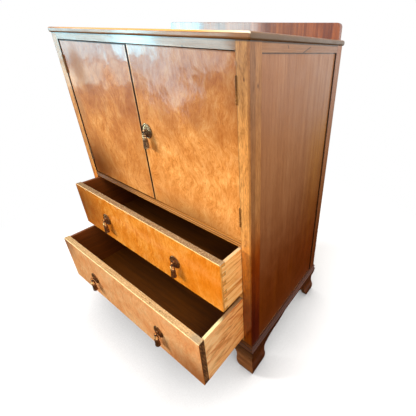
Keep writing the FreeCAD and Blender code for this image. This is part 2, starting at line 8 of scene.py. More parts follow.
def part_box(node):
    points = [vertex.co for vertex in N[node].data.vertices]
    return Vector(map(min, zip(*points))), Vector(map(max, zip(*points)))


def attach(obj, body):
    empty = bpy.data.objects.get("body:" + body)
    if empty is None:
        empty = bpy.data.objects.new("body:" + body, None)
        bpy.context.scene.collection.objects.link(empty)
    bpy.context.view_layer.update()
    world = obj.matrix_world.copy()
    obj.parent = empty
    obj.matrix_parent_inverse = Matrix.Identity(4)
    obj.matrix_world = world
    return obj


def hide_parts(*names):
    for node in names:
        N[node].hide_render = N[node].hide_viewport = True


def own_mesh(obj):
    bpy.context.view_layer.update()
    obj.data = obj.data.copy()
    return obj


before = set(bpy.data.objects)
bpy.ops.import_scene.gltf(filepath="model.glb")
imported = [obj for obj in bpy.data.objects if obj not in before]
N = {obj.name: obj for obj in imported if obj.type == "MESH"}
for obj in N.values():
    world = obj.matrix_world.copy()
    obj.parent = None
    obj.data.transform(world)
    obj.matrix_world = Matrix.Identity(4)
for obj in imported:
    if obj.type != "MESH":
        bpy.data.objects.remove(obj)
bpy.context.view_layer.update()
random.seed(7)

# ------------------------------------------------------------------ sizes, in metres
YF, YB = -0.2635, 0.2635
XW = 0.457


def lin(r, g, b):
    """A colour given as 0-255 display values, as linear light."""
    out = []
    for c in (r, g, b):
        c = c / 255.0
        out.append(c / 12.92 if c <= 0.04045 else ((c + 0.055) / 1.055) ** 2.4)
    return tuple(out) + (1.0,)


# ------------------------------------------------------------------ node helper
class Mat:
    def __init__(self, name):
        self.m = bpy.data.materials.new(name)
        self.m.use_nodes = True
        self.t = self.m.node_tree
        self.t.nodes.clear()
        out = self.t.nodes.new("ShaderNodeOutputMaterial")
        self.b = self.t.nodes.new("ShaderNodeBsdfPrincipled")
        self.t.links.new(self.b.outputs[0], out.inputs[0])
        tc = self.t.nodes.new("ShaderNodeTexCoord")
        self.P = tc.outputs["Object"]
        self.nor = tc.outputs["Normal"]

    def put(self, sock, v):
        if isinstance(v, bpy.types.NodeSocket):
            self.t.links.new(v, sock)
        else:
            sock.default_value = v

    def node(self, kind, props=None, ins=None):
        n = self.t.nodes.new(kind)
        for k, v in (props or {}).items():
            setattr(n, k, v)
        for k, v in (ins or {}).items():
            self.put(n.inputs[k], v)
        return n

    def math(self, op, a, b=None, c=None, clamp=False):
        n = self.node("ShaderNodeMath", {"operation": op, "use_clamp": clamp}, {0: a})
        if b is not None:
            self.put(n.inputs[1], b)
        if c is not None:
            self.put(n.inputs[2], c)
        return n.outputs[0]

    def vmath(self, op, a, b=None, scale=None):
        n = self.node("ShaderNodeVectorMath", {"operation": op}, {0: a})
        if b is not None:
            self.put(n.inputs[1], b)
        if scale is not None:
            self.put(n.inputs["Scale"], scale)
        return n.outputs["Value"] if op in ("LENGTH", "DISTANCE", "DOT_PRODUCT") else n.outputs["Vector"]

    def sep(self, v):
        n = self.node("ShaderNodeSeparateXYZ", ins={0: v})
        return n.outputs[0], n.outputs[1], n.outputs[2]

    def comb(self, x, y, z):
        return self.node("ShaderNodeCombineXYZ", ins={0: x, 1: y, 2: z}).outputs[0]

    def noise(self, v, scale=1.0, detail=3.0, rough=0.5, dist=0.0, lac=2.0, color=False):
        n = self.node("ShaderNodeTexNoise", ins={"Vector": v, "Scale": scale, "Detail": detail, "Roughness": rough,
                                                 "Lacunarity": lac, "Distortion": dist})
        return n.outputs["Color"] if color else n.outputs["Fac"]

    def voronoi(self, v, scale=1.0, feature="F1", rnd=1.0, out="Distance"):
        n = self.node("ShaderNodeTexVoronoi", {"feature": feature}, {"Vector": v, "Scale": scale, "Randomness": rnd})
        return n.outputs[out]

    def ramp(self, f, stops, mode="LINEAR"):
        n = self.node("ShaderNodeValToRGB", ins={0: f})
        cr = n.color_ramp
        cr.interpolation = mode
        while len(cr.elements) < len(stops):
            cr.elements.new(0.5)
        for e, (p, c) in zip(cr.elements, stops):
            e.position = p
            e.color = c if len(c) == 4 else tuple(c) + (1.0,)
        return n.outputs[0]

    def mix(self, f, a, b, blend="MIX"):
        n = self.node("ShaderNodeMix", {"data_type": "RGBA", "blend_type": blend, "clamp_factor": True})
        self.put(n.inputs["Factor"], f)
        self.put(n.inputs[6], a)
        self.put(n.inputs[7], b)
        return n.outputs[2]

    def mapr(self, v, a, b, c=0.0, d=1.0, smooth=False):
        n = self.node("ShaderNodeMapRange", {"interpolation_type": "SMOOTHSTEP" if smooth else "LINEAR", "clamp": True},
                      {"Value": v, "From Min": a, "From Max": b, "To Min": c, "To Max": d})
        return n.outputs[0]

    def bump(self, h, strength=0.2, dist=0.001, normal=None):
        ins = {"Height": h, "Strength": strength, "Distance": dist}
        if normal is not None:
            ins["Normal"] = normal
        return self.node("ShaderNodeBump", ins=ins).outputs[0]

    def set(self, **kw):
        names = {"color": "Base Color", "rough": "Roughness", "metal": "Metallic", "normal": "Normal",
                 "coat": "Coat Weight", "coat_rough": "Coat Roughness", "coat_ior": "Coat IOR", "ior": "IOR",
                 "spec": "Specular IOR Level", "coat_normal": "Coat Normal", "aniso": "Anisotropic"}
        for k, v in kw.items():
            self.put(self.b.inputs[names[k]], v)
        return self.m

    # ---- shared bits
    def blob(self, centre, radius, soft=1.0):
        """1 at centre, falling smoothly to 0 at the radius, an ellipsoid (rx, ry, rz)."""
        d = self.vmath("SUBTRACT", self.P, centre)
        d = self.vmath("DIVIDE", d, radius)
        ln = self.vmath("LENGTH", d)
        return self.mapr(ln, 1.0, 1.0 - soft, 0.0, 1.0, True)

    def facing(self, axis):
        """How far the object-space normal points along a unit axis."""
        return self.vmath("DOT_PRODUCT", self.nor, axis)


def along(mat, axis, off=(0, 0, 0)):
    """Object coordinates in mm, turned so that the third one runs along the grain."""
    p = mat.vmath("SCALE", mat.P, scale=1000.0)
    p = mat.vmath("ADD", p, off)
    x, y, z = mat.sep(p)
    if axis == "x":
        return mat.comb(z, y, x)
    if axis == "y":
        return mat.comb(x, z, y)
    return mat.comb(x, y, z)


def scaled(mat, v, s):
    return mat.vmath("MULTIPLY", v, s)


# ------------------------------------------------------------------ woods
def wood(name, axis, dark, mid, light, seed, rough=0.38, coat=0.35, pores=0.5, stripes=0.5, bump=0.25, tone=0.3,
         wave=6.0, end=None, extra=None, coat_ior=1.5):
    """Straight-grained varnished wood: broad growth bands, fine grain lines and short dark pores."""
    m = Mat(name)
    off = (seed * 137.1, seed * 61.7, seed * 211.3)
    g = along(m, axis, off)
    w = m.noise(scaled(m, g, (0.004, 0.004, 0.0022)), 1.0, 2.0, 0.5, color=True)
    w = m.vmath("SUBTRACT", w, (0.5, 0.5, 0.5))
    w = m.vmath("MULTIPLY", w, (wave, wave, 0.0))
    g2 = m.vmath("ADD", g, w)
    bands = m.noise(scaled(m, g2, (0.06, 0.06, 0.0016)), 1.0, 3.0, 0.55)
    lines = m.noise(scaled(m, g2, (0.42, 0.42, 0.006)), 1.0, 4.0, 0.6)
    fine = m.noise(scaled(m, g2, (1.6, 1.6, 0.03)), 1.0, 3.0, 0.6)
    pore = m.noise(scaled(m, g2, (2.6, 2.6, 0.09)), 1.0, 2.0, 0.5)
    pore = m.mapr(pore, 0.30, 0.42, 1.0, 0.0, True)
    f = m.math("MULTIPLY_ADD", m.math("SUBTRACT", bands, 0.5), 1.6 * stripes, 0.5)
    f = m.math("MULTIPLY_ADD", m.math("SUBTRACT", lines, 0.5), 1.5 * stripes, f)
    f = m.math("MULTIPLY_ADD", m.math("SUBTRACT", fine, 0.5), 0.55, f, clamp=True)
    col = m.ramp(f, [(0.18, dark), (0.5, mid), (0.82, light)])
    blot = m.noise(scaled(m, g, (0.009, 0.009, 0.005)), 1.0, 3.0, 0.6)
    col = m.mix(m.mapr(blot, 0.35, 0.7, 0.0, tone), col, dark)
    col = m.mix(m.math("MULTIPLY", pore, pores), col, tuple(c * 0.35 for c in dark[:3]) + (1,))
    if end is not None:
        ax = {"x": (1, 0, 0), "y": (0, 1, 0), "z": (0, 0, 1)}[axis]
        e = m.math("ABSOLUTE", m.facing(ax))
        rings = m.noise(scaled(m, g, (0.5, 0.5, 0.0)), 1.0, 4.0, 0.6)
        col = m.mix(m.mapr(e, 0.6, 0.9), col, m.mix(rings, end, tuple(c * 0.5 for c in end[:3]) + (1,)))
    if extra is not None:
        col = extra(m, col, g)
    h = m.math("MULTIPLY_ADD", lines, 0.6, m.math("MULTIPLY", fine, 0.4))
    h = m.math("SUBTRACT", h, m.math("MULTIPLY", pore, 0.6))
    sheen = m.noise(scaled(m, g, (0.02, 0.02, 0.02)), 1.0, 3.0, 0.6)
    worn = m.noise(scaled(m, g, (0.16, 0.16, 0.012)), 1.0, 3.0, 0.6)
    ct = m.mapr(m.facing((0, -1, 0)), 0.5, 0.9, coat, 0.95)
    ct = m.math("MULTIPLY", ct, m.mapr(worn, 0.30, 0.70, 1.0, 0.55))
    return m.set(color=col, rough=m.mapr(sheen, 0.3, 0.7, rough - 0.07, rough + 0.10), coat=ct, coat_rough=0.11, coat_ior=coat_ior,
                 spec=0.3, normal=m.bump(h, bump, 0.0006))


def raw_wood(name, axis, dark, mid, light, seed, wavy=14.0, top=None, inner=None, inner_axis=None, rough=0.72, tails=None, lined=0.75, blotch_and_shade=0.0):
    """Unvarnished drawer wood with wavy dark streaks."""
    m = Mat(name)
    g = along(m, axis, (seed * 97.3, seed * 53.9, seed * 171.7))
    w = m.noise(scaled(m, g, (0.012, 0.012, 0.006)), 1.0, 2.0, 0.5, color=True)
    w = m.vmath("MULTIPLY", m.vmath("SUBTRACT", w, (0.5, 0.5, 0.5)), (wavy, wavy, 0.0))
    w2 = m.noise(scaled(m, g, (0.05, 0.05, 0.022)), 1.0, 2.0, 0.5, color=True)
    w2 = m.vmath("MULTIPLY", m.vmath("SUBTRACT", w2, (0.5, 0.5, 0.5)), (wavy * 0.55, wavy * 0.55, 0.0))
    g2 = m.vmath("ADD", m.vmath("ADD", g, w), w2)
    bands = m.noise(scaled(m, g2, (0.05, 0.09, 0.003)), 1.0, 3.0, 0.55)
    lines = m.noise(scaled(m, g2, (0.3, 0.3, 0.010)), 1.0, 4.0, 0.62)
    fine = m.noise(scaled(m, g2, (1.5, 1.5, 0.05)), 1.0, 3.0, 0.6)
    f = m.math("MULTIPLY_ADD", m.math("SUBTRACT", bands, 0.5), 1.5, 0.5)
    f = m.math("MULTIPLY_ADD", m.math("SUBTRACT", lines, 0.5), lined, f)
    f = m.math("MULTIPLY_ADD", m.math("SUBTRACT", fine, 0.5), 0.5, f, clamp=True)
    col = m.ramp(f, [(0.2, dark), (0.46, mid), (0.8, light)])
    if tails is not None:
        y0, z0, pitch, wide = tails
        x, y, z = m.sep(m.P)
        t = m.math("FRACT", m.math("DIVIDE", m.math("SUBTRACT", z, z0), pitch))
        skew = m.math("MULTIPLY", m.math("SUBTRACT", y, y0 + 0.0137), 0.167 / pitch)
        e1 = m.mapr(m.math("ABSOLUTE", m.math("SUBTRACT", t, skew)), 0.02, 0.075, 1.0, 0.0)
        e2 = m.mapr(m.math("ABSOLUTE", m.math("SUBTRACT", m.math("ADD", t, skew), wide / pitch)), 0.02, 0.075, 1.0, 0.0)
        e = m.math("MAXIMUM", e1, e2)
        e = m.math("MULTIPLY", e, m.mapr(y, y0 + 0.0212, y0 + 0.0202))
        e = m.math("MAXIMUM", e, m.mapr(y, y0 + 0.0080, y0 + 0.0068))
        col = m.mix(m.math("MULTIPLY", e, 0.85), col, lin(48, 26, 8))
    dirt_and_gap_shade = m.noise(scaled(m, g, (0.02, 0.02, 0.01)), 1.0, 4.0, 0.65)
    col = m.mix(m.mapr(dirt_and_gap_shade, 0.52, 0.75, 0.0, 0.45), col, dark)
    if blotch_and_shade:
        b = m.noise(m.vmath("ADD", scaled(m, g, (0.020, 0.034, 0.012)), m.vmath("SCALE", w, scale=0.02)), 1.0, 4.0, 0.62)
        col = m.mix(m.mapr(b, 0.50, 0.66, 0.0, blotch_and_shade), col, m.mix(1.0, col, (0.62, 0.42, 0.24, 1), "MULTIPLY"))
        # painted shade: the sides darker and redder towards the back, by the carcase
        px, py, pz = m.sep(m.P)
        col = m.mix(m.mapr(py, -0.44, -0.27, 0.0, 1.0), col, m.mix(1.0, col, (0.90, 0.68, 0.42, 1), "MULTIPLY"))
    if inner is not None:
        x, y, z = m.sep(m.P)
        nx, ny, nz = m.sep(m.nor)
        if inner_axis == "x":       # the faces that look towards the middle of the drawer
            s = m.math("MULTIPLY", m.math("SIGN", x), nx)
            k = m.mapr(s, -0.5, -0.9)
        elif inner_axis == "-y":
            k = m.mapr(ny, -0.5, -0.9)
        elif inner_axis == "z":
            k = m.mapr(nz, 0.5, 0.9)
        else:
            k = 1.0
        # painted shade: the faces inside the drawer turn dark for the shade inside it
        inner_shade = m.mix(m.mapr(f, 0.2, 0.8), tuple(c * 0.6 for c in inner[:3]) + (1,), inner)
        col = m.mix(k, col, inner_shade)
    if top is not None:
        nx, ny, nz = m.sep(m.nor)
        tcol = m.mix(m.mapr(fine, 0.3, 0.7), tuple(c * 0.78 for c in top[:3]) + (1,), top)
        if inner_axis == "x":       # the left side's edge is stained dark
            px, py, pz = m.sep(m.P)
            tcol = m.mix(m.mapr(px, 0.0, -0.01), tcol, m.mix(m.mapr(fine, 0.3, 0.7), lin(84, 40, 12), lin(138, 76, 34)))
        if blotch_and_shade:
            # painted shade: the top edge turns brown further back, under the upper drawer
            px, py, pz = m.sep(m.P)
            tcol = m.mix(m.mapr(py, -0.385, -0.345, 0.0, 0.9, True), tcol, m.mix(m.mapr(fine, 0.3, 0.7), lin(92, 48, 18), lin(150, 90, 42)))
        col = m.mix(m.mapr(nz, 0.5, 0.85), col, tcol)
    h = m.math("MULTIPLY_ADD", lines, 0.5, m.math("MULTIPLY", fine, 0.5))
    return m.set(color=col, rough=rough, normal=m.bump(h, 0.45, 0.0009))


def veneer(name, seed, kind, y_face):
    """Figured, quilted veneer under a glossy varnish; kind is left, right (the doors), upper or lower (drawer fronts)."""
    m = Mat(name)
    p = m.vmath("SCALE", m.P, scale=1000.0)
    p = m.vmath("ADD", p, (seed * 83.0, 0.0, seed * 57.0))
    x, y, z = m.sep(p)
    q = m.comb(x, z, 0.0)
    # slow swirls carry the small flames
    s1 = m.noise(m.vmath("SCALE", q, scale=0.006), 1.0, 2.0, 0.5, color=True)
    s1 = m.vmath("MULTIPLY", m.vmath("SUBTRACT", s1, (0.5, 0.5, 0.5)), (130.0, 60.0, 0.0))
    s2 = m.noise(m.vmath("SCALE", q, scale=0.028), 1.0, 2.0, 0.5, color=True)
    s2 = m.vmath("MULTIPLY", m.vmath("SUBTRACT", s2, (0.5, 0.5, 0.5)), (22.0, 14.0, 0.0))
    qq = m.vmath("ADD", m.vmath("ADD", q, s1), s2)
    streak = 0.032 if kind in ("left", "right") else 0.022
    flames = m.noise(scaled(m, qq, (0.115, streak * 1.30, 1.0)), 1.0, 3.0, 0.55)
    flecks = m.noise(scaled(m, qq, (0.42, 0.085, 1.0)), 1.0, 4.0, 0.62)
    clouds = m.noise(scaled(m, qq, (0.030, 0.013, 1.0)), 1.0, 4.0, 0.60)
    fine = m.noise(scaled(m, qq, (1.3, 0.22, 1.0)), 1.0, 3.0, 0.6)
    eyes = m.voronoi(scaled(m, qq, (0.045, 0.035, 1.0)), 1.0)
    eye = m.mapr(eyes, 0.05, 0.12, 1.0, 0.0, True)
    f = m.math("MULTIPLY_ADD", m.math("SUBTRACT", flames, 0.5), 0.85, 0.5)
    f = m.math("MULTIPLY_ADD", m.math("SUBTRACT", flecks, 0.5), 1.10, f)
    f = m.math("MULTIPLY_ADD", m.math("SUBTRACT", clouds, 0.5), 1.05, f)
    f = m.math("MULTIPLY_ADD", m.math("SUBTRACT", fine, 0.5), 0.70, f, clamp=True)
    if kind in ("left", "right"):
        d, a, l = lin(194, 112, 40), lin(232, 154, 76), lin(250, 190, 116)
    elif kind == "upper":
        d, a, l = lin(202, 102, 12), lin(238, 146, 40), lin(252, 184, 98)
    else:
        d, a, l = lin(228, 140, 76), lin(255, 186, 120), lin(255, 214, 160)
    col = m.ramp(f, [(0.15, d), (0.5, a), (0.85, l)])
    col = m.mix(m.math("MULTIPLY", eye, 0.45), col, tuple(c * 0.55 for c in d[:3]) + (1,))
    broad = m.noise(m.vmath("SCALE", q, scale=0.0075), 1.0, 3.0, 0.55)
    col = m.mix(m.mapr(broad, 0.42, 0.70, 0.0, 0.60), col, d)
    nx, ny, nz = m.sep(m.nor)
    px, py, pz = m.sep(m.P)
    if kind in ("left", "right"):
        s = -1 if kind == "left" else 1
        # painted shade: darker and browner towards the top of the doors, where less light falls
        wob = m.math("MULTIPLY_ADD", m.math("SUBTRACT", broad, 0.5), 0.20, pz)
        col = m.mix(m.mapr(wob, 0.82, 1.16, 0.0, 1.0, True), col, m.mix(1.0, col, (0.52, 0.42, 0.44, 1) if kind == "left" else (0.45, 0.40, 0.41, 1), "MULTIPLY"))
        # deeper colour low down by the outer edge of the left door, a duller foot on the right one
        if kind == "left":
            col = m.mix(1.0, col, (0.86, 0.84, 0.84, 1), "MULTIPLY")
            b = m.blob((-0.375, YF, 0.70), (0.25, 0.2, 0.20))
            col = m.mix(m.math("MULTIPLY", b, 0.95), col, lin(102, 48, 0))
            b = m.blob((-0.330, YF, 1.095), (0.075, 0.2, 0.105), 0.8)
            col = m.mix(m.math("MULTIPLY", b, 0.60), col, lin(140, 92, 48))
            b = m.blob((-0.400, YF, 0.935), (0.05, 0.2, 0.10), 0.8)
            col = m.mix(m.math("MULTIPLY", b, 0.35), col, lin(150, 118, 84))
        else:
            b = m.blob((0.20, YF, 0.650), (0.34, 0.2, 0.105))
            col = m.mix(m.math("MULTIPLY", b, 0.85), col, lin(150, 98, 48))
        # a lighter straight-grained lipping along the meeting edge
        edge = m.math("MULTIPLY", px, float(s))
        lines = m.noise(scaled(m, p, (0.9, 0.9, 0.012)), 1.0, 3.0, 0.55)
        lip = m.mix(0.55, m.ramp(lines, [(0.3, lin(206, 140, 72)), (0.7, lin(246, 190, 126))]), col)
        k = m.mapr(edge, 0.0095, 0.0107, 1.0, 0.0)
        col = m.mix(k, col, lip)
        line = m.math("MULTIPLY", m.mapr(edge, 0.0094, 0.0102, 0.0, 1.0), m.mapr(edge, 0.0103, 0.0111, 1.0, 0.0))
        col = m.mix(m.math("MULTIPLY", line, 0.35), col, lin(120, 66, 24))
        # painted shade along the gaps: a dark band beside the meeting edge, the left door's outer edge and the top and
        # bottom edges, standing in for the shade in the gaps and in the recess by the left post
        lo_e = 0.4159
        faint = 1.0 if kind == "left" else 0.25
        outer = m.mapr(edge, lo_e - 0.0016 if kind == "left" else lo_e - 0.0006, lo_e - 0.0008 if kind == "left" else lo_e, 0.0, faint)
        k = m.math("MAXIMUM", m.mapr(edge, 0.0064, 0.0052) if kind == "left" else m.mapr(edge, 0.0048, 0.0038), outer)
        k = m.math("MAXIMUM", k, m.math("MAXIMUM", m.mapr(pz, 1.1788, 1.1794, 0.0, 1.0 if kind == "left" else 0.4), m.mapr(pz, 0.6640, 0.6634, 0.0, faint)))
        col = m.mix(m.math("MULTIPLY", k, 0.94), col, lin(34, 15, 6))
        dirt_and_gap_shade = k
        # the edges and back of the slab; the side edges, which face the gaps, are near-black, a painted shade
        col = m.mix(m.mapr(m.math("ABSOLUTE", nx), 0.35, 0.7), col, m.ramp(lines, [(0.3, lin(34, 16, 6)), (0.7, lin(58, 30, 12))]))
        col = m.mix(m.mapr(m.math("ABSOLUTE", nz), 0.6, 0.9), col, m.ramp(lines, [(0.3, lin(92, 48, 22)), (0.7, lin(132, 76, 38))]))
        back = m.ramp(m.noise(scaled(m, p, (0.35, 0.35, 0.006)), 1.0, 4.0, 0.6),
                      [(0.3, lin(96, 50, 24)), (0.55, lin(136, 78, 40)), (0.8, lin(160, 98, 56))])
        col = m.mix(m.mapr(ny, 0.6, 0.9), col, back)
    else:
        ends = m.math("ABSOLUTE", nx)
        rings = m.noise(scaled(m, p, (0.05, 0.35, 0.05)), 1.0, 4.0, 0.6)
        grainx = m.noise(scaled(m, p, (0.008, 0.7, 0.7)), 1.0, 4.0, 0.62)
        if kind == "upper":
            top_c = m.ramp(grainx, [(0.3, lin(112, 84, 56)), (0.7, lin(176, 144, 104))])
            end_c = m.ramp(rings, [(0.3, lin(190, 116, 40)), (0.7, lin(246, 172, 86))])
            # a dark joint line where the sockets end
            jl = m.math("MULTIPLY", m.mapr(py, y_face + 0.0192, y_face + 0.0202), 0.85)
            end_c = m.mix(jl, end_c, lin(52, 28, 10))
            b = m.blob((-0.46, y_face, 0.55), (0.36, 0.3, 0.24))
            col = m.mix(m.math("MULTIPLY", b, 0.88), col, lin(112, 56, 22))
            b = m.blob((0.36, y_face, 0.54), (0.24, 0.3, 0.16))
            col = m.mix(m.math("MULTIPLY", b, 0.55), col, lin(232, 122, 2))
        else:
            top_c = m.ramp(grainx, [(0.3, lin(150, 116, 70)), (0.7, lin(224, 190, 136))])
            slant = m.noise(m.comb(m.math("MULTIPLY_ADD", y, 0.9, m.math("MULTIPLY", z, 0.30)), m.math("MULTIPLY", z, 0.04), 0.0), 0.55, 4.0, 0.65)
            end_c = m.ramp(slant, [(0.36, lin(26, 12, 4)), (0.50, lin(80, 46, 22)), (0.64, lin(158, 106, 64))])
            end_c = m.mix(m.mapr(py, y_face + 0.0016, y_face + 0.0008), end_c, lin(214, 122, 48))
            b = m.blob((-0.43, y_face, 0.40), (0.14, 0.3, 0.13))
            col = m.mix(m.math("MULTIPLY", b, 0.75), col, lin(112, 62, 50))
            b = m.blob((0.39, y_face, 0.225), (0.26, 0.3, 0.14))
            col = m.mix(m.math("MULTIPLY", b, 0.78), col, lin(140, 72, 22))
        # the veneer and its cross-band show as a pale, chipped line along the top edge
        dy = m.math("MULTIPLY", m.math("SUBTRACT", py, y_face), 1000.0)
        chips = m.noise(scaled(m, p, (0.05, 0.0, 0.0)), 1.0, 4.0, 0.7)
        wide = m.mapr(chips, 0.35, 0.7, 1.2, 3.6)
        k = m.math("MULTIPLY", m.mapr(m.math("SUBTRACT", dy, wide), 0.0, 0.5, 1.0, 0.0), m.mapr(nz, 0.25, 0.6))
        top_c = m.mix(k, top_c, lin(248, 214, 150) if kind == "upper" else lin(255, 228, 170))
        speck = m.noise(scaled(m, p, (0.22, 0.40, 0.40)), 1.0, 4.0, 0.72)
        top_c = m.mix(m.mapr(speck, 0.54, 0.64, 0.0, 0.60), top_c, lin(92, 56, 26))
        top_c = m.mix(m.mapr(speck, 0.44, 0.34, 0.0, 0.55), top_c, lin(255, 236, 192))
        # old screw and nail marks
        holes = m.voronoi(scaled(m, m.comb(x, y, 0.0), (0.011, 0.06, 1.0)), 1.0)
        top_c = m.mix(m.mapr(holes, 0.035, 0.05, 0.85, 0.0), top_c, lin(40, 22, 8))
        if kind == "lower":
            for hx in (0.175, 0.228):
                top_c = m.mix(m.math("MULTIPLY", m.blob((hx, y_face + 0.009, 0.413), (0.0028, 0.0028, 0.02), 0.4), 0.9), top_c, lin(34, 18, 6))
            top_c = m.mix(m.math("MULTIPLY", m.blob((0.395, y_face + 0.010, 0.413), (0.035, 0.03, 0.02), 0.9), 0.65), top_c, lin(150, 140, 118))
        col = m.mix(m.mapr(nz, 0.6, 0.9), col, top_c)
        col = m.mix(m.mapr(nz, -0.6, -0.9), col, lin(120, 78, 40))
        col = m.mix(m.mapr(ends, 0.6, 0.9), col, end_c)
        # painted shade: the inside face of the front is dark for the shade inside the drawer
        inside = m.ramp(grainx, [(0.3, lin(40, 20, 6)), (0.7, lin(70, 38, 14))])
        col = m.mix(m.mapr(ny, 0.6, 0.9), col, inside)
    front = m.mapr(ny, -0.5, -0.9)
    rough = m.mapr(front, 0.0, 1.0, 0.65, 0.33)
    rough = m.math("ADD", rough, m.mapr(broad, 0.3, 0.7, -0.05, 0.08))
    h = m.math("MULTIPLY_ADD", flecks, 0.5, m.math("MULTIPLY", flames, 0.8))
    ripple = m.noise(m.vmath("SCALE", q, scale=0.02), 1.0, 2.0, 0.5)
    n1 = m.bump(h, 0.10, 0.0006)
    swell = m.noise(m.vmath("SCALE", q, scale=0.007), 1.0, 2.0, 0.5)
    hh = m.math("MULTIPLY_ADD", ripple, 9.0, m.math("MULTIPLY", clouds, 5.0))
    hh = m.math("MULTIPLY_ADD", swell, 34.0, m.math("MULTIPLY_ADD", flames, 0.8, hh))
    n2 = m.bump(hh, 0.10, 0.0008)
    worn = m.noise(scaled(m, qq, (0.10, 0.030, 1.0)), 1.0, 4.0, 0.62)
    ct = m.math("MULTIPLY", front, m.mapr(worn, 0.32, 0.66, 1.0, 0.50))
    if kind in ("left", "right"):
        # the varnish is also thinned over the painted gap shade
        ct = m.math("MULTIPLY", ct, m.math("SUBTRACT", 1.0, m.math("MULTIPLY", dirt_and_gap_shade, 0.9)))
    if kind == "left":
        bare = m.math("MAXIMUM", m.blob((-0.330, y_face, 1.10), (0.065, 0.2, 0.095), 0.7), m.blob((-0.135, y_face, 1.085), (0.06, 0.2, 0.05), 0.8))
        ct = m.math("MULTIPLY", ct, m.math("SUBTRACT", 1.0, m.math("MULTIPLY", bare, 0.88)))
    return m.set(color=col, rough=rough, spec=0.2, normal=n1, coat=ct, coat_rough=0.10, coat_normal=n2)


def brass(name, base, dark, bright, rough=0.34, seed=0.0, worn=False, left=None, metal=1.0, high=None):
    """Aged brass: brown in the hollows and on the flats, rubbed bright in spots."""
    m = Mat(name)
    p = m.vmath("ADD", m.vmath("SCALE", m.P, scale=1000.0), (seed * 31.0, seed * 17.0, seed * 7.0))
    n1 = m.noise(p, 0.28, 4.0, 0.62)
    n2 = m.noise(p, 1.4, 3.0, 0.6)
    n3 = m.noise(p, 5.0, 2.0, 0.5)
    f = m.math("MULTIPLY_ADD", m.math("SUBTRACT", n2, 0.5), 0.6, n1)
    if worn:        # each vertex carries how much it is rubbed: crests 1, hollows 0; the plates add a painted highlight above and painted shade below
        a = m.node("ShaderNodeAttribute", {"attribute_name": "rub_and_highlight"}).outputs["Fac"]
        f = m.math("MULTIPLY_ADD", m.math("SUBTRACT", a, 0.5), 0.42, f)
    col = m.ramp(f, [(0.34, dark), (0.52, base), (0.70, bright)])
    x, y, z = m.sep(m.P)
    if worn:        # browner on the drawers, a painted reflection of the wood round them
        col = m.mix(m.mapr(z, 0.72, 0.66, 0.0, 0.9), col, m.mix(1.0, col, (1.02, 0.70, 0.42, 1), "MULTIPLY"))
    if high is not None:        # darker on the upper pair
        col = m.mix(m.mapr(z, 1.08, 1.12, 0.0, 0.75), col, high)
    # painted reflection: the left hinges take a pale wood tone that matches the bright reflection in the varnish beside
    # them
    if left is not None:
        col = m.mix(m.mapr(x, 0.0, -0.01), col, left)
    pit = m.mapr(n3, 0.28, 0.38, 1.0, 0.0, True)
    col = m.mix(m.math("MULTIPLY", pit, 0.5), col, tuple(c * 0.4 for c in dark[:3]) + (1,))
    r = m.mapr(f, 0.35, 0.65, rough + 0.22, rough - 0.06)
    return m.set(color=col, metal=m.mapr(f, 0.38, 0.66, 0.30, 1.0) if worn else metal, rough=r, normal=m.bump(m.math("ADD", n2, m.math("MULTIPLY", n3, 0.3)), 0.25, 0.0004))


# ------------------------------------------------------------------ materials
def lower(z1, z0, tint, amount=1.0):
    """Painted shade: the colour turns darker and redder from height z1 down to z0."""
    def f(m, col, g):
        x, y, z = m.sep(m.P)
        wob = m.noise(m.vmath("SCALE", g, scale=0.01), 1.0, 3.0, 0.6)
        z = m.math("MULTIPLY_ADD", m.math("SUBTRACT", wob, 0.5), 0.12, z)
        k = m.mapr(z, z1, z0, 0.0, amount, True)
        return m.mix(k, col, m.mix(1.0, col, tint, "MULTIPLY"))
    return f


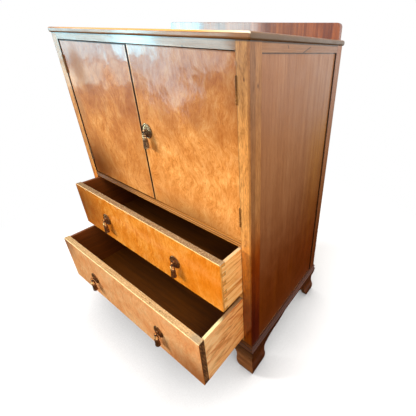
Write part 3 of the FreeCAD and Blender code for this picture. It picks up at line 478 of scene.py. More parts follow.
def post_tone(m, col, g):
    """Golden veneer in front, browner wood on the sides, darker still by the front arris."""
    x, y, z = m.sep(m.P)
    nx, ny, nz = m.sep(m.nor)
    side = m.mapr(m.math("ABSOLUTE", nx), 0.45, 0.85)
    fine = m.noise(scaled(m, g, (0.9, 0.9, 0.02)), 1.0, 4.0, 0.6)
    brown = m.ramp(fine, [(0.3, lin(136, 84, 40)), (0.5, lin(174, 116, 66)), (0.75, lin(202, 148, 94))])
    front = m.mapr(y, YF + 0.017, YF + 0.024, 0.45, 0.0, True)
    brown = m.mix(front, brown, lin(112, 70, 44))
    col = m.mix(side, col, brown)
    kn = m.voronoi(scaled(m, g, (0.030, 0.030, 0.0075)), 1.0)
    col = m.mix(m.mapr(kn, 0.05, 0.10, 0.20, 0.0, True), col, lin(84, 44, 16))
    swirl = m.noise(m.vmath("ADD", scaled(m, g, (0.06, 0.06, 0.020)), m.vmath("SCALE", m.noise(scaled(m, g, (0.02, 0.02, 0.010)), 1.0, 2.0, 0.5, color=True), scale=2.4)), 1.0, 4.0, 0.62)
    fig = m.noise(m.vmath("ADD", scaled(m, g, (0.40, 0.40, 0.085)), m.vmath("SCALE", m.noise(scaled(m, g, (0.03, 0.03, 0.02)), 1.0, 2.0, 0.5, color=True), scale=3.0)), 1.0, 4.0, 0.62)
    f = m.math("MULTIPLY_ADD", m.math("SUBTRACT", fig, 0.5), 0.9, swirl)
    shade = m.ramp(f, [(0.32, (0.66, 0.58, 0.48)), (0.50, (1.0, 0.98, 0.95)), (0.68, (1.22, 1.24, 1.25))])
    col = m.mix(m.math("MULTIPLY_ADD", side, -0.55, 1.0), col, m.mix(1.0, col, shade, "MULTIPLY"))
    # painted shade: the front darker and bluer towards the top
    hi = m.mapr(m.math("MULTIPLY_ADD", m.math("SUBTRACT", fine, 0.5), 0.1, z), 0.92, 1.14, 0.0, 1.0, True)
    col = m.mix(m.math("MULTIPLY", hi, m.math("MULTIPLY_ADD", side, -0.55, 1.0)), col, m.mix(1.0, col, (0.58, 0.62, 0.72, 1), "MULTIPLY"))
    # the outer strip of the front is darker
    ax = m.math("ABSOLUTE", x)
    strip = m.math("MULTIPLY", m.mapr(ax, 0.4495, 0.4515, 0.0, 0.55, True), m.math("SUBTRACT", 1.0, side))
    col = m.mix(strip, col, lin(128, 74, 34))
    # painted shade: the post's inner face, beside the doors' recess, is dark, darkest on the left
    inner_face_shade = m.mapr(m.math("MULTIPLY", m.math("SIGN", x), nx), -0.5, -0.8)
    col = m.mix(inner_face_shade, col, m.mix(m.mapr(x, -0.01, 0.01), lin(54, 26, 10), lin(112, 66, 30)))
    # painted shadow: a dark line under the nose of the top
    col = m.mix(m.mapr(z, 1.2015, 1.2035, 0.0, 0.8), col, lin(40, 26, 16))
    # painted shade low down: the sides darker and redder from about 0.8 m down, the front darker from about 0.74 m
    # down, where the open drawers' shadow falls
    deep = m.mix(m.mapr(z, 0.82, 0.56, 0.0, 1.0, True), col, m.mix(1.0, col, (0.78, 0.40, 0.08, 1), "MULTIPLY"))
    col = m.mix(side, col, deep)
    col = lower(0.74, 0.54, (0.76, 0.52, 0.14, 1))(m, col, g)
    low_side = lower(0.62, 0.28, (0.36, 0.19, 0.04, 1))(m, col, g)
    col = m.mix(side, lower(0.54, 0.36, (0.28, 0.10, 0.01, 1))(m, col, g), low_side)
    for spot, size in (((0.4405, YF, 1.1266), (0.0045, 0.01, 0.0075)), ((0.4331, YF, 0.6532), (0.0040, 0.01, 0.0065)), ((XW, -0.2338, 1.1131), (0.01, 0.0050, 0.0085))):
        col = m.mix(m.math("MULTIPLY", m.blob(spot, size, 0.8), 0.75), col, lin(86, 44, 14))
    # painted shade: a dark line along the inner arris of the front, by the doors' recess, strongest on the left
    arris = m.math("MULTIPLY", m.mapr(ax, 0.4209, 0.4197), m.math("SUBTRACT", 1.0, side))
    col = m.mix(m.math("MULTIPLY", arris, m.mapr(x, -0.01, 0.01, 0.85, 0.25)), col, lin(34, 16, 6))
    lift = m.math("MULTIPLY", m.mapr(z, 0.30, 0.20, 0.0, 1.0, True), m.math("SUBTRACT", 1.0, side))
    return m.mix(lift, col, m.mix(1.0, col, (1.7, 3.4, 5.0, 1), "MULTIPLY"))


def rear_tone(m, col, g):
    """Painted shade: the step that faces the recessed panel is near-black, and the wood darker low down."""
    col = lower(0.85, 0.25, (0.5, 0.30, 0.08, 1))(m, col, g)
    x, y, z = m.sep(m.P)
    k = m.math("MAXIMUM", m.mapr(m.facing((0, -1, 0)), 0.4, 0.8), m.mapr(y, YB - 0.0432, YB - 0.0442))
    return m.mix(m.math("MULTIPLY", k, 0.92), col, lin(26, 12, 5))


def panel_tone(m, col, g):
    """Painted shade: redder and darker low down, and dark lines along the frame where the recessed panel meets it; more
    golden towards the back.
    """
    x, y, z = m.sep(m.P)
    gold = m.math("MULTIPLY", m.mapr(y, 0.02, 0.17, 0.0, 1.0, True), m.mapr(z, 1.02, 0.90, 0.0, 1.0, True))
    col = lower(0.98, 0.34, (0.46, 0.20, 0.015, 1))(m, col, g)
    col = m.mix(m.math("MULTIPLY", gold, 0.8), col, m.mix(1.0, col, (1.10, 1.02, 0.40, 1), "MULTIPLY"))
    spots = m.noise(scaled(m, g, (0.25, 0.25, 0.06)), 1.0, 3.0, 0.6)
    col = m.mix(m.mapr(spots, 0.42, 0.70, 0.0, 0.35), col, m.mix(1.0, col, (1.25, 1.22, 1.25, 1), "MULTIPLY"))
    k = m.math("MAXIMUM", m.mapr(y, YB - 0.0485, YB - 0.0462), m.mapr(y, YF + 0.0462, YF + 0.0448))
    k = m.math("MAXIMUM", k, m.mapr(z, 1.1785, 1.1805))
    return m.mix(m.math("MULTIPLY", k, 0.85), col, lin(30, 14, 6))


def gallery_tone(m, col, g):
    """Broad dark flames, more orange towards the right end."""
    x, y, z = m.sep(m.P)
    w = m.noise(scaled(m, g, (0.016, 0.016, 0.004)), 1.0, 2.0, 0.5)
    col = m.mix(m.mapr(w, 0.46, 0.62, 0.0, 0.75), col, m.mix(1.0, col, (0.42, 0.30, 0.36, 1), "MULTIPLY"))
    return m.mix(m.mapr(x, 0.22, 0.40, 0.0, 0.7, True), col, m.mix(1.0, col, (1.35, 1.10, 0.75, 1), "MULTIPLY"))


def rail_tone(m, col, g):
    """Straw-coloured below the doors, with dark lines in the two grooves, a painted shade line along the gap under the
    doors and a painted shadow under the nose of the top; an orange-brown rail between the drawers.
    """
    x, y, z = m.sep(m.P)
    low = m.mapr(z, 0.9, 0.7)
    col = m.mix(low, col, m.mix(1.0, col, (2.30, 1.85, 0.95, 1), "MULTIPLY"))
    col = m.mix(m.math("MULTIPLY", low, m.mapr(x, -0.02, -0.22, 0.0, 0.75, True)), col, lin(86, 48, 18))
    # the two groove lines, and at 0.66 a painted shade line along the gap under the doors, fainter to the right
    for zg in (0.6446, 0.6534, 0.6600):
        k = m.mapr(m.math("ABSOLUTE", m.math("SUBTRACT", z, zg)), 0.0022, 0.0012)
        k = m.math("MULTIPLY", k, m.mapr(x, -0.02, 0.10, 0.8, 0.15) if zg == 0.6600 else 0.8)
        col = m.mix(k, col, lin(62, 34, 14))
    col = m.mix(m.math("MULTIPLY", m.mapr(x, 0.05, 0.25), m.mapr(z, 0.9, 1.0)), col, m.mix(1.0, col, (0.72, 0.70, 0.72, 1), "MULTIPLY"))
    col = m.mix(m.math("MULTIPLY", m.blob((0.2483, YF, 1.1863), (0.0050, 0.02, 0.0030), 0.7), 0.85), col, lin(40, 24, 14))
    # painted shadow under the nose of the top
    return m.mix(m.mapr(z, 1.2015, 1.2035, 0.0, 0.8), col, lin(34, 34, 34))


def side_rail_tone(m, col, g):
    """Painted shadow under the nose of the top, and a cracked corner of old repair on the right rail."""
    x, y, z = m.sep(m.P)
    for y0, z0, uy, uz, long in ((-0.0278, 1.1815, 0.946, 0.322, 0.049), (-0.110, 1.1995, 0.55, -0.835, 0.010)):
        dy, dz = m.math("SUBTRACT", y, y0), m.math("SUBTRACT", z, z0)
        t = m.math("MULTIPLY_ADD", dz, uz, m.math("MULTIPLY", dy, uy))
        d = m.math("ABSOLUTE", m.math("MULTIPLY_ADD", dz, uy, m.math("MULTIPLY", dy, -uz)))
        k = m.math("MULTIPLY", m.mapr(d, 0.0019, 0.0007), m.math("MULTIPLY", m.mapr(t, -0.001, 0.001), m.mapr(t, long + 0.001, long - 0.001)))
        k = m.math("MULTIPLY", k, m.mapr(x, 0.0, 0.1))
        col = m.mix(m.math("MULTIPLY", k, 0.8), col, lin(50, 32, 20))
    # painted shadow under the nose of the top
    return m.mix(m.mapr(z, 1.2005, 1.2030, 0.0, 0.85), col, lin(36, 24, 16))


def top_tone(m, col, g):
    """A painted highlight along the upper nose of the front, fading in from the left and whiter towards the right."""
    x, y, z = m.sep(m.P)
    ny = m.facing((0, -1, 0))
    nz = m.facing((0, 0, 1))
    chip = m.noise(scaled(m, g, (0.1, 0.1, 0.02)), 1.0, 3.0, 0.6)
    k = m.math("MULTIPLY", m.mapr(ny, 0.15, 0.35), m.mapr(nz, 0.30, 0.45))
    k = m.math("MULTIPLY", k, m.mapr(m.math("MULTIPLY_ADD", chip, 0.3, x), -0.34, -0.10))
    # the painted highlight's colour, from orange to near-white at the right end
    rub_and_highlight = m.mix(m.mapr(x, 0.30, 0.46), lin(250, 170, 70), lin(252, 236, 206))
    return m.mix(k, col, rub_and_highlight)


def foot_tone(m, col, g):
    """Painted shade: the side wings are redder and darker than the front ones."""
    return m.mix(m.mapr(m.math("ABSOLUTE", m.facing((1, 0, 0))), 0.5, 0.8), col, m.mix(1.0, col, (0.42, 0.26, 0.12, 1), "MULTIPLY"))


M = {}
M["post_f"] = wood("post_front_wood", "z", lin(178, 114, 52), lin(216, 148, 76), lin(240, 178, 104), 1.0, stripes=0.45, extra=post_tone,
                   tone=0.2)
M["post_r"] = wood("post_rear_wood", "z", lin(122, 66, 30), lin(158, 98, 54), lin(184, 128, 80), 2.0, stripes=0.45, extra=rear_tone)
M["rail_x"] = wood("front_rail_wood", "x", lin(104, 72, 42), lin(146, 104, 66), lin(178, 134, 92), 3.0, end=lin(120, 80, 46), extra=rail_tone, coat_ior=1.78)
M["side_rail"] = wood("side_rail_wood", "y", lin(122, 78, 48), lin(156, 108, 70), lin(184, 138, 98), 4.0, stripes=0.4, extra=side_rail_tone)
M["side_panel"] = wood("side_panel_wood", "z", lin(128, 76, 42), lin(162, 108, 68), lin(188, 138, 96), 5.0, stripes=0.34,
                       rough=0.36, coat=0.4, wave=10.0, tone=0.2, extra=panel_tone)
M["top"] = wood("top_wood", "x", lin(100, 62, 32), lin(146, 98, 56), lin(188, 140, 88), 6.0, end=lin(112, 82, 52), extra=top_tone)
M["gallery"] = wood("gallery_wood", "z", lin(84, 38, 18), lin(134, 76, 38), lin(168, 104, 54), 7.0, stripes=0.55, wave=9.0, coat_ior=2.15, extra=gallery_tone)
M["plinth"] = wood("plinth_wood", "x", lin(46, 20, 6), lin(92, 50, 22), lin(134, 84, 44), 8.0, rough=0.34, coat=0.15, stripes=0.5, tone=0.5)
M["plinth_s"] = wood("plinth_side_wood", "y", lin(42, 16, 4), lin(84, 38, 12), lin(118, 64, 30), 9.0, rough=0.34, coat=0.15, stripes=0.5, tone=0.5)
M["foot"] = wood("foot_wood", "x", lin(70, 36, 14), lin(136, 84, 46), lin(170, 116, 72), 10.0, rough=0.34, coat=0.15, stripes=0.5, tone=0.5, extra=foot_tone)
M["door_l"] = veneer("door_left_veneer", 1.0, "left", YF)
M["door_r"] = veneer("door_right_veneer", 5.0, "right", YF)
M["front_u"] = veneer("upper_front_veneer", 9.0, "upper", YF - 0.0922)
M["front_l"] = veneer("lower_front_veneer", 13.0, "lower", YF - 0.1976)
# painted shade: the dark colour of the faces inside the drawers
INNER = lin(118, 56, 10)
M["sides_u"] = raw_wood("upper_side_wood", "y", lin(190, 108, 36), lin(252, 178, 96), lin(255, 214, 148), 1.0,
                        top=lin(236, 198, 146), inner=INNER, inner_axis="x", tails=(YF - 0.0922, 0.4495, 0.0371, 0.0281))
M["sides_l"] = raw_wood("lower_side_wood", "y", lin(214, 122, 60), lin(255, 190, 122), lin(255, 216, 160), 6.0, wavy=40.0, lined=0.85, blotch_and_shade=0.9,
                        top=lin(250, 236, 176), inner=INNER, inner_axis="x")
M["drawer_back"] = raw_wood("drawer_back_wood", "x", lin(132, 88, 46), lin(180, 128, 74), lin(206, 158, 104), 3.0,
                            top=lin(190, 150, 104), inner=INNER, inner_axis="-y")
# painted shade: the upper face of the drawer bottoms is darker
M["drawer_bottom"] = raw_wood("drawer_bottom_ply", "x", lin(120, 80, 44), lin(160, 114, 68), lin(186, 142, 92), 4.0,
                              inner=lin(138, 74, 8), inner_axis="z")
M["inner_y"] = raw_wood("runner_wood", "y", lin(84, 56, 32), lin(122, 86, 52), lin(152, 114, 74), 7.0, wavy=6.0)
M["inner_x"] = raw_wood("inside_board_wood", "x", lin(84, 54, 30), lin(124, 84, 50), lin(154, 112, 70), 8.0, wavy=6.0)
M["inner_z"] = raw_wood("block_wood", "z", lin(84, 54, 30), lin(124, 84, 50), lin(154, 112, 70), 9.0, wavy=6.0)
M["back"] = raw_wood("back_ply", "z", lin(142, 98, 56), lin(186, 138, 86), lin(212, 168, 114), 10.0, wavy=26.0)
M["handle"] = brass("antique_brass", lin(122, 100, 58), lin(44, 32, 16), lin(206, 190, 140))
M["drop"] = brass("antique_brass_drop", lin(118, 98, 60), lin(46, 34, 18), lin(200, 184, 138), seed=3.0)
M["hinge"] = brass("hinge_brass", lin(150, 96, 40), lin(92, 56, 20), lin(196, 142, 78), rough=0.4, seed=5.0, left=lin(150, 116, 84), metal=0.4,
                   high=lin(84, 52, 28))
M["brass"] = brass("plain_brass", lin(168, 132, 66), lin(110, 80, 34), lin(206, 172, 104), rough=0.32, seed=8.0)
M["steel"] = brass("dull_steel", lin(128, 124, 118), lin(78, 70, 62), lin(168, 166, 160), rough=0.42, seed=11.0)

GIVE = {
    "post_f": ["post_front_left", "post_front_right"],
    "post_r": ["post_rear_left", "post_rear_right"],
    "rail_x": ["frieze_rail", "door_rail", "drawer_rail", "bottom_rail"],
    "side_rail": ["side_rails_left", "side_rails_right"],
    "side_panel": ["side_panel_left", "side_panel_right"],
    "top": ["top_board"],
    "gallery": ["back_gallery"],
    "plinth": ["plinth_mould_front"],
    "plinth_s": ["plinth_mould_left", "plinth_mould_right"],
    "foot": ["foot_front_left", "foot_front_right", "foot_rear_left", "foot_rear_right"],
    "door_l": ["door_left"],
    "door_r": ["door_right"],
    "front_u": ["upper_drawer_front"],
    "front_l": ["lower_drawer_front"],
    "sides_u": ["upper_drawer_sides"],
    "sides_l": ["lower_drawer_sides"],
    "drawer_back": ["upper_drawer_back", "lower_drawer_back"],
    "drawer_bottom": ["upper_drawer_bottom", "lower_drawer_bottom"],
    "inner_y": ["bearers", "drawer_runners", "drawer_guides", "closing_stops"],
    "inner_x": ["back_rails", "cupboard_floor", "cupboard_shelf"],
    "inner_z": ["glue_blocks"],
    "back": ["back_panel"],
    "handle": ["door_handle_mount", "upper_handle_mounts", "lower_handle_mounts"],
    "drop": ["door_handle_drop", "upper_drop_left", "upper_drop_right", "lower_drop_left", "lower_drop_right"],
    "hinge": ["hinge_fixed_leaves", "hinge_leaves_pins_left", "hinge_leaves_pins_right"],
    "brass": ["bolt", "bolt_case", "catch_case", "catch_strike_plate"],
    "steel": ["carcase_screws", "hinge_screws_left", "hinge_screws_right", "catch_ball", "catch_spring"],
}
given = set()
for key, nodes in GIVE.items():
    for n in nodes:
        if n in N:
            me = N[n].data
            me.materials.clear()
            me.materials.append(M[key].m if isinstance(M[key], Mat) else M[key])
            given.add(n)
left = sorted(set(N) - given)
assert not left, left

# ------------------------------------------------------------------ drop handles, in mesh
M["fluted"] = brass("antique_brass_fluted", lin(126, 84, 46), lin(58, 34, 14), lin(240, 200, 152), rough=0.30, seed=1.0, worn=True)
PLATE = [(2.3, 0.0), (24.95, 0.0), (25.0, 0.12), (25.0, 0.9), (24.85, 1.2), (24.3, 2.0), (23.8, 2.45), (23.2, 2.68), (22.6, 2.74),
         (22.0, 2.66), (21.5, 2.35), (21.1, 2.02), (20.8, 1.92), (20.4, 1.98), (19.8, 2.14), (19.2, 2.32), (18.5, 2.55), (17.6, 2.76),
         (16.6, 2.98), (15.5, 3.24), (14.5, 3.45), (13.2, 3.58), (12.0, 3.68), (10.8, 3.78), (9.8, 3.86), (9.2, 3.95), (8.9, 4.1),
         (8.4, 4.19), (6.0, 4.28), (4.0, 4.34), (0.0, 4.38)]
POST = [(0.0, 3.9), (4.6, 4.0), (4.6, 4.5), (4.85, 4.85), (5.0, 5.45), (4.85, 6.0), (4.4, 6.45), (3.7, 6.8), (3.2, 7.1), (3.08, 7.6),
        (3.05, 9.0), (0.0, 9.0)]


def bead(h0, h1, r0, r1, top, n=12):
    return [(r0 + (r1 - r0) * t + (top - (r0 + r1) / 2) * math.sin(math.pi * t) ** 0.75, h0 + (h1 - h0) * t)
            for t in (k / n for k in range(n + 1))]


DROP = ([(0.0, -5.25), (1.35, -5.25), (1.75, -6.3)] + bead(-6.6, -10.9, 1.8, 2.8, 4.55) + bead(-11.5, -17.1, 2.8, 3.7, 5.85)
        + bead(-17.8, -24.3, 3.7, 4.6, 6.65)
        + [(4.75, -25.2), (5.5, -25.9), (6.2, -27.1), (6.55, -28.6), (6.8, -30.6), (6.88, -32.4), (6.95, -35.0), (7.05, -38.0),
           (7.2, -42.0), (7.45, -46.0), (7.65, -49.0), (7.92, -52.0), (8.15, -54.4), (8.4, -56.4), (8.45, -57.3), (8.42, -58.1),
           (8.1, -58.8), (7.5, -59.4), (4.0, -60.2), (0.0, -60.7)])


def turned(bm, rub_and_highlight, profile, place, segs, flute=None, crest=None):
    """A closed body of revolution; place(angle, r, h) gives each point in mm, crest(r, h, angle) how rubbed it is, with
    the plates' painted highlight and shade added.
    """
    rings = []
    for r, h in profile:
        ring = []
        for k in range(1 if r == 0.0 else segs):
            t = 2 * math.pi * k / segs
            rr, hh = flute(r, h, t) if flute and r else (r, h)
            v = bm.verts.new(Vector(place(t, rr, hh)) / 1000.0)
            v[rub_and_highlight] = crest(r, h, t) if crest else 0.5
            ring.append(v)
        rings.append(ring)
    faces = []
    for a, b in zip(rings, rings[1:]):
        for k in range(segs):
            q = (k + 1) % segs
            if len(a) == 1 and len(b) > 1:
                faces.append(bm.faces.new((a[0], b[q], b[k])))
            elif len(b) == 1 and len(a) > 1:
                faces.append(bm.faces.new((a[k], a[q], b[0])))
            elif len(a) > 1:
                faces.append(bm.faces.new((a[k], a[q], b[q], b[k])))
    if len(rings[0]) > 1:
        faces.append(bm.faces.new(list(reversed(rings[0]))))
    if len(rings[-1]) > 1:
        faces.append(bm.faces.new(rings[-1]))
    bmesh.ops.recalc_face_normals(bm, faces=faces)


def finished(name, bm, body, node):
    me = bpy.data.meshes.new(name)
    for f in bm.faces:
        f.smooth = True
    bm.to_mesh(me)
    bm.free()
    me.set_sharp_from_angle(angle=math.radians(50))
    me.materials.append(M["fluted"])
    o = bpy.data.objects.new(name, me)
    bpy.context.scene.collection.objects.link(o)
    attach(o, body)
    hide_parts(node)
    return o


def mount_into(bm, rub_and_highlight, x, y, z, wood):
    """Fluted plate, beaded post with its forked ball, cross pin and nut; (x, y, z) is the plate's middle on the wood, in mm."""
    def fl(r, h, t):
        w = max(0.0, min(1.0, (r - 9.4) / 1.6, (19.6 - r) / 1.6))
        return r, h - 0.55 * w * (0.5 + 0.5 * math.cos(30 * t))

    def cr(r, h, t):
        if 9.6 < r < 19.6:
            # the flutes rubbed on their crests, plus a painted highlight on the upper half of the plate and painted
            # shade on the lower half
            return 0.62 - 0.55 * (0.5 + 0.5 * math.cos(30 * t)) + (0.25 if t < math.pi else -0.15)
        if 20.0 <= r <= 21.6:
            return 0.05
        return 0.85 if r > 21.6 and h > 2.2 else 0.4
    turned(bm, rub_and_highlight, PLATE, lambda t, r, h: (x + r * math.cos(t), y - h, z + r * math.sin(t)), 240, fl, cr)
    z += 3.0
    out = y - 12.5
    turned(bm, rub_and_highlight, POST, lambda t, r, h: (x + r * math.cos(t), y - h, z + r * math.sin(t)), 40, None,
           lambda r, h, t: 0.8 if 5.0 < h < 6.2 else 0.2)
    for s in (-1, 1):           # the two cheeks of the ball
        prof = [(0.0, 1.3)] + [(4.65 * math.cos(a), 4.65 * math.sin(a)) for a in (math.asin(1.3 / 4.65) + k * (math.pi / 2 - math.asin(1.3 / 4.65)) / 10
                                                                          for k in range(10))] + [(0.0, 4.65)]
        turned(bm, rub_and_highlight, prof, lambda t, r, h: (x + s * h, out + r * math.cos(t), z + r * math.sin(t)), 32, None, lambda r, h, t: 1.0)
    turned(bm, rub_and_highlight, [(0.0, -4.3), (0.8, -4.3), (0.8, 4.3), (0.0, 4.3)], lambda t, r, h: (x + h, out + r * math.cos(t), z + r * math.sin(t)), 16)
    turned(bm, rub_and_highlight, [(0.0, wood), (5.4, wood), (5.4, wood + 3.5), (0.0, wood + 3.5)],
           lambda t, r, h: (x + r * math.cos(t), y + h, z + r * math.sin(t)), 6)
    turned(bm, rub_and_highlight, [(0.0, -4.0), (2.15, -4.0), (2.15, wood + 7.0), (0.0, wood + 7.0)],
           lambda t, r, h: (x + r * math.cos(t), y + h, z + r * math.sin(t)), 20)


def drop_into(bm, rub_and_highlight, x, y, z):
    """The hanging drop: an eye on the pin, three beads and a fluted bell, wider than deep; z is the plate's middle."""
    z += 3.0
    out = y - 12.5

    def fl(r, h, t):
        w = max(0.0, min(1.0, (-29.0 - h) / 3.0, (h + 55.6) / 2.0))
        return r * (1.0 - 0.055 * w * (0.5 + 0.5 * math.cos(18 * t))), h

    def cr(r, h, t):
        if h > -25.0:
            return 1.0 if r > 4.3 else 0.0
        if h < -55.0:
            return 0.9
        return 0.55 - 0.4 * (0.5 + 0.5 * math.cos(18 * t))
    turned(bm, rub_and_highlight, DROP, lambda t, r, h: (x + 1.35 * r * math.cos(t), out + r * math.sin(t), z + h), 144, fl, cr)
    turned(bm, rub_and_highlight, [(0.0, -0.98), (2.6, -0.98), (2.85, -0.75), (2.85, 0.75), (2.6, 0.98), (0.0, 0.98)],
           lambda t, r, h: (x + h, out + r * math.cos(t), z + r * math.sin(t)), 32)
    vs = [bm.verts.new(Vector((x + sx * 0.95, out + sy * 1.35, zz)) / 1000.0) for zz in (z - 6.1, z - 0.5)
          for sx, sy in ((-1, -1), (1, -1), (1, 1), (-1, 1))]
    fs = [bm.faces.new([vs[k] for k in q]) for q in ((3, 2, 1, 0), (4, 5, 6, 7), (0, 1, 5, 4), (1, 2, 6, 5), (2, 3, 7, 6), (3, 0, 4, 7))]
    bmesh.ops.recalc_face_normals(bm, faces=fs)


def handles():
    y_door = 1000 * YF + 2.4
    y_up, y_lo = 1000 * YF - 92.2, 1000 * YF - 197.6
    for name, body, node, spots, wood in (
            ("door_handle_plate_and_post", "right_door", "door_handle_mount", [(30.0, y_door, 931.0)], 20.0),
            ("upper_drawer_plates_and_posts", "upper_drawer", "upper_handle_mounts", [(-213.0, y_up, 536.0), (205.0, y_up, 536.0)], 20.7),
            ("lower_drawer_plates_and_posts", "lower_drawer", "lower_handle_mounts", [(-213.0, y_lo, 299.5), (205.0, y_lo, 299.5)], 20.7)):
        bm = bmesh.new()
        rub_and_highlight = bm.verts.layers.float.new("rub_and_highlight")
        for p in spots:
            mount_into(bm, rub_and_highlight, *p, wood)
        finished(name, bm, body, node)
    for name, body, node, p in (
            ("door_pendant", "door_drop", "door_handle_drop", (30.0, y_door, 931.0)),
            ("upper_left_pendant", "upper_drop_left", "upper_drop_left", (-213.0, y_up, 536.0)),
            ("upper_right_pendant", "upper_drop_right", "upper_drop_right", (205.0, y_up, 536.0)),
            ("lower_left_pendant", "lower_drop_left", "lower_drop_left", (-213.0, y_lo, 299.5)),
            ("lower_right_pendant", "lower_drop_right", "lower_drop_right", (205.0, y_lo, 299.5))):
        bm = bmesh.new()
        rub_and_highlight = bm.verts.layers.float.new("rub_and_highlight")
        drop_into(bm, rub_and_highlight, *p)
        finished(name, bm, body, node)


handles()


# ------------------------------------------------------------------ the spring under the catch's ball
def coil():
    lo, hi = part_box("catch_spring")
    wire, turns, segs, sides = 0.0003, 5, 150, 12
    cx, cy, rad = (lo.x + hi.x) / 2, (lo.y + hi.y) / 2, (hi.x - lo.x) / 2 - wire
    z0, z1 = lo.z + wire, hi.z - wire
    bm = bmesh.new()
    rings = []
    for k in range(segs + 1):
        t = k / segs
        a = 2 * math.pi * turns * t
        out, up = Vector((math.cos(a), math.sin(a), 0.0)), Vector((0.0, 0.0, 1.0))
        mid = Vector((cx, cy, z0 + (z1 - z0) * t)) + out * rad
        rings.append([bm.verts.new(mid + wire * (out * math.cos(b) + up * math.sin(b)))
                      for b in (2 * math.pi * q / sides for q in range(sides))])
    for a, b in zip(rings, rings[1:]):
        for q in range(sides):
            bm.faces.new((a[q], a[(q + 1) % sides], b[(q + 1) % sides], b[q]))
    bm.faces.new(list(reversed(rings[0])))
    bm.faces.new(rings[-1])
    bmesh.ops.recalc_face_normals(bm, faces=list(bm.faces))
    me = bpy.data.meshes.new("catch_spring_coil")
    for face in bm.faces:
        face.smooth = True
    bm.to_mesh(me)
    bm.free()
    me.set_sharp_from_angle(angle=math.radians(50))
    me.materials.append(M["steel"])
    o = bpy.data.objects.new("catch_spring_coil", me)
    bpy.context.scene.collection.objects.link(o)
    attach(o, "right_door")
    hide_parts("catch_spring")
    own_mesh(o)


coil()

# ------------------------------------------------------------------ stage
def plane(name, size, z, mat):
    me = bpy.data.meshes.new(name)
    bm = bmesh.new()
    bmesh.ops.create_grid(bm, x_segments=1, y_segments=1, size=size)
    bm.to_mesh(me)
    bm.free()
    o = bpy.data.objects.new(name, me)
    o.location = (0, 0, z)
    bpy.context.scene.collection.objects.link(o)
    me.materials.append(mat)
    return o


# white ground round the object, melting into the white of the world further out; it glows, is darkened near the object
# by ambient occlusion, and has a painted lift of light to the right of the object where the key light's shadow falls
fl = Mat("floor_white")
fx, fy, fz = fl.sep(fl.P)
away = fl.vmath("LENGTH", fl.vmath("MULTIPLY", fl.vmath("SUBTRACT", fl.P, (0.1, -0.1, 0.0)), (1.0, 1.0, 0.0)))
far = fl.mapr(away, 0.75, 1.7, 0.0, 1.0, True)
dust = fl.noise(fl.P, 9.0, 3.0, 0.6)
near = fl.node("ShaderNodeAmbientOcclusion", {"samples": 8}, {"Distance": 0.34}).outputs["AO"]
near = fl.mapr(near, 0.24, 0.96, 0.20, 1.0)
tint = fl.mix(near, (0.82, 0.80, 0.80, 1), (1, 1, 1, 1))
ground = fl.mix(1.0, fl.mix(dust, lin(226, 226, 226), lin(232, 232, 232)), fl.mix(near, (0.0, 0.0, 0.0, 1), tint), "MULTIPLY")
fl.set(color=fl.mix(far, ground, (0, 0, 0, 1)), rough=0.9, spec=0.0)
fl.b.inputs["Emission Color"].default_value = (1, 1, 1, 1)
glow = fl.math("ADD", fl.mapr(far, 0.0, 1.0, 0.24, 1.0), fl.math("MULTIPLY", fl.mapr(fx, 0.34, 0.70, 0.0, 0.14, True), fl.math("SUBTRACT", 1.0, far)))
fl.put(fl.b.inputs["Emission Strength"], glow)
floor = plane("floor", 14.0, 0.0, fl.m)
floor.visible_glossy = False
floor.visible_diffuse = False

# the room: white to the camera; to everything else a pale ceiling, grey walls and a dark carpet
world = bpy.data.worlds.new("studio")
bpy.context.scene.world = world
world.use_nodes = True
wt = world.node_tree
wt.nodes.clear()
wo = wt.nodes.new("ShaderNodeOutputWorld")
w_tc = wt.nodes.new("ShaderNodeTexCoord")
w_sep = wt.nodes.new("ShaderNodeSeparateXYZ")
wt.links.new(w_tc.outputs["Generated"], w_sep.inputs[0])
w_map = wt.nodes.new("ShaderNodeMapRange")
w_map.inputs["From Min"].default_value = -1.0
w_map.inputs["From Max"].default_value = 1.0
wt.links.new(w_sep.outputs[2], w_map.inputs["Value"])


def room(stops):
    n = wt.nodes.new("ShaderNodeValToRGB")
    while len(n.color_ramp.elements) < len(stops):
        n.color_ramp.elements.new(0.5)
    for e, (h, c) in zip(n.color_ramp.elements, stops):
        e.position = 0.5 + 0.5 * h
        e.color = tuple(v / 2.5 for v in c) + (1.0,)
    wt.links.new(w_map.outputs[0], n.inputs[0])
    b = wt.nodes.new("ShaderNodeBackground")
    wt.links.new(n.outputs[0], b.inputs[0])
    b.inputs[1].default_value = 2.5
    return b.outputs[0]


# what lights the object, and what its varnish mirrors; the height is the sine of the elevation
w_soft = room([(-1.0, (0.03, 0.02, 0.015)), (-0.25, (0.05, 0.035, 0.025)), (-0.05, (0.18, 0.155, 0.13)), (0.05, (0.33, 0.31, 0.29)),
               (0.4, (0.42, 0.41, 0.40)), (1.0, (0.62, 0.61, 0.60))])
w_right = room([(-1.0, (0.01, 0.006, 0.004)), (-0.50, (0.02, 0.012, 0.008)), (-0.33, (0.18, 0.15, 0.12)), (-0.17, (0.95, 1.05, 1.05)),
                (-0.05, (1.6, 1.65, 1.6)), (0.0, (1.9, 1.95, 1.95)), (0.4, (1.5, 1.5, 1.5)), (1.0, (1.2, 1.2, 1.2))])
w_left = room([(-1.0, (0.01, 0.006, 0.004)), (-0.35, (0.02, 0.015, 0.012)), (-0.14, (0.14, 0.16, 0.15)), (-0.02, (0.40, 0.44, 0.46)),
               (0.1, (0.6, 0.62, 0.64)), (1.0, (1.0, 1.0, 1.0))])
w_side = wt.nodes.new("ShaderNodeMapRange")
w_side.inputs["From Min"].default_value = -0.1
w_side.inputs["From Max"].default_value = 0.4
wt.links.new(w_sep.outputs[0], w_side.inputs["Value"])
w_g = wt.nodes.new("ShaderNodeMixShader")
wt.links.new(w_side.outputs[0], w_g.inputs[0])
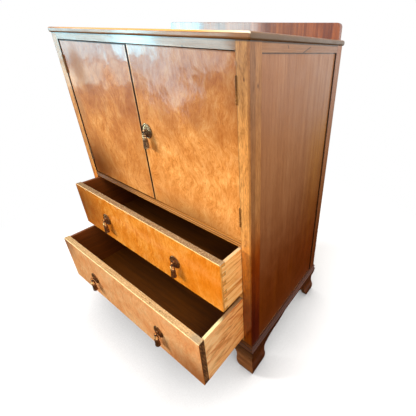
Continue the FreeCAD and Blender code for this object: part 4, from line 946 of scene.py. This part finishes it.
wt.links.new(w_left, w_g.inputs[1])
wt.links.new(w_right, w_g.inputs[2])
w_gloss = w_g.outputs[0]
w_white = wt.nodes.new("ShaderNodeBackground")
w_white.inputs[0].default_value = (1, 1, 1, 1)
w_lp = wt.nodes.new("ShaderNodeLightPath")
w_m1 = wt.nodes.new("ShaderNodeMixShader")
wt.links.new(w_lp.outputs["Is Glossy Ray"], w_m1.inputs[0])
wt.links.new(w_soft, w_m1.inputs[1])
wt.links.new(w_gloss, w_m1.inputs[2])
w_mix = wt.nodes.new("ShaderNodeMixShader")
wt.links.new(w_lp.outputs["Is Camera Ray"], w_mix.inputs[0])
wt.links.new(w_m1.outputs[0], w_mix.inputs[1])
wt.links.new(w_white.outputs[0], w_mix.inputs[2])
wt.links.new(w_mix.outputs[0], wo.inputs[0])


def area(name, loc, target, size, size_y, radiance, color=(1, 1, 1), glossy=True, diffuse=True, spread=math.pi, twist=0.0):
    """A soft box, set by how bright its face is."""
    d = bpy.data.lights.new(name, "AREA")
    d.shape = "RECTANGLE"
    d.size, d.size_y = size, size_y
    d.energy = radiance * math.pi * size * size_y
    d.color = color
    d.spread = spread
    o = bpy.data.objects.new(name, d)
    o.location = loc
    o.rotation_euler = ((Vector(target) - Vector(loc)).to_track_quat("-Z", "Y") @ Quaternion((0, 0, 1), twist)).to_euler()
    o.visible_glossy = glossy
    o.visible_diffuse = diffuse
    o.visible_camera = False
    bpy.context.scene.collection.objects.link(o)
    return o


# a window on the left, seen in the varnish: its near pane brighter than its far one, with a lit sill, a curtain and a wall
area("window_far", (-3.7, -1.74, 1.68), (0.0, -1.74, 1.68), 1.0, 1.55, 3.1, (0.42, 0.86, 1.0), diffuse=False)
area("window_near", (-3.7, -2.60, 1.68), (0.0, -2.60, 1.68), 0.7, 1.55, 14.0, (0.34, 0.82, 1.0), diffuse=False)
area("sill", (-3.7, -1.80, 0.70), (0.0, -1.80, 0.70), 1.2, 0.30, 2.5, (0.80, 1.0, 0.90), diffuse=False)
area("curtain", (-3.7, -3.10, 0.52), (0.0, -3.10, 0.52), 0.66, 1.25, 4.6, (0.55, 0.86, 1.0), diffuse=False, twist=math.radians(34))
area("wall", (-3.7, -3.95, 1.45), (0.0, -3.95, 1.45), 1.7, 1.5, 4.6, (0.70, 0.96, 1.0), diffuse=False)
# the same window as a key light, small enough to throw the shadows of the handles
area("key", (-8.4, -4.32, 2.93), (0.0, -0.26, 0.75), 2.16, 1.92, 132.0, (1.0, 0.98, 0.97), glossy=False)
# soft boxes over the front and over the right side
area("front_box", (1.2, -2.3, 1.5), (0.2, -0.3, 0.5), 1.7, 1.3, 2.5, (1.0, 0.98, 0.95), glossy=False)
area("side_box", (1.9, -0.7, 2.1), (0.46, -0.1, 0.8), 1.1, 1.1, 9.5, (1.0, 0.98, 0.95), glossy=False)

area("back_box", (-0.7, 2.9, 1.7), (0.0, 0.27, 0.7), 1.6, 1.3, 4.0, (1.0, 0.98, 0.95), glossy=False)

# ------------------------------------------------------------------ camera
cam = bpy.data.cameras.new("camera")
cam.sensor_width = 36.0
cam.lens = 23.153
cam.shift_x = -0.1735
cam.shift_y = -0.0650
cam.clip_start = 0.01
co = bpy.data.objects.new("camera", cam)
yaw, pitch, roll = -0.5463, 0.4708, -0.0476
fwd = Vector((math.sin(yaw) * math.cos(pitch), math.cos(yaw) * math.cos(pitch), -math.sin(pitch)))
right = Vector((math.cos(yaw), -math.sin(yaw), 0))
down = fwd.cross(right)
r2 = right * math.cos(roll) + down * math.sin(roll)
d2 = -right * math.sin(roll) + down * math.cos(roll)
rot = Matrix((r2, -d2, -fwd)).transposed()
co.matrix_world = Matrix.Translation((0.8427, -0.7508, 1.1994)) @ rot.to_4x4()
bpy.context.scene.collection.objects.link(co)
bpy.context.scene.camera = co
bpy.context.scene.view_settings.view_transform = "Standard"
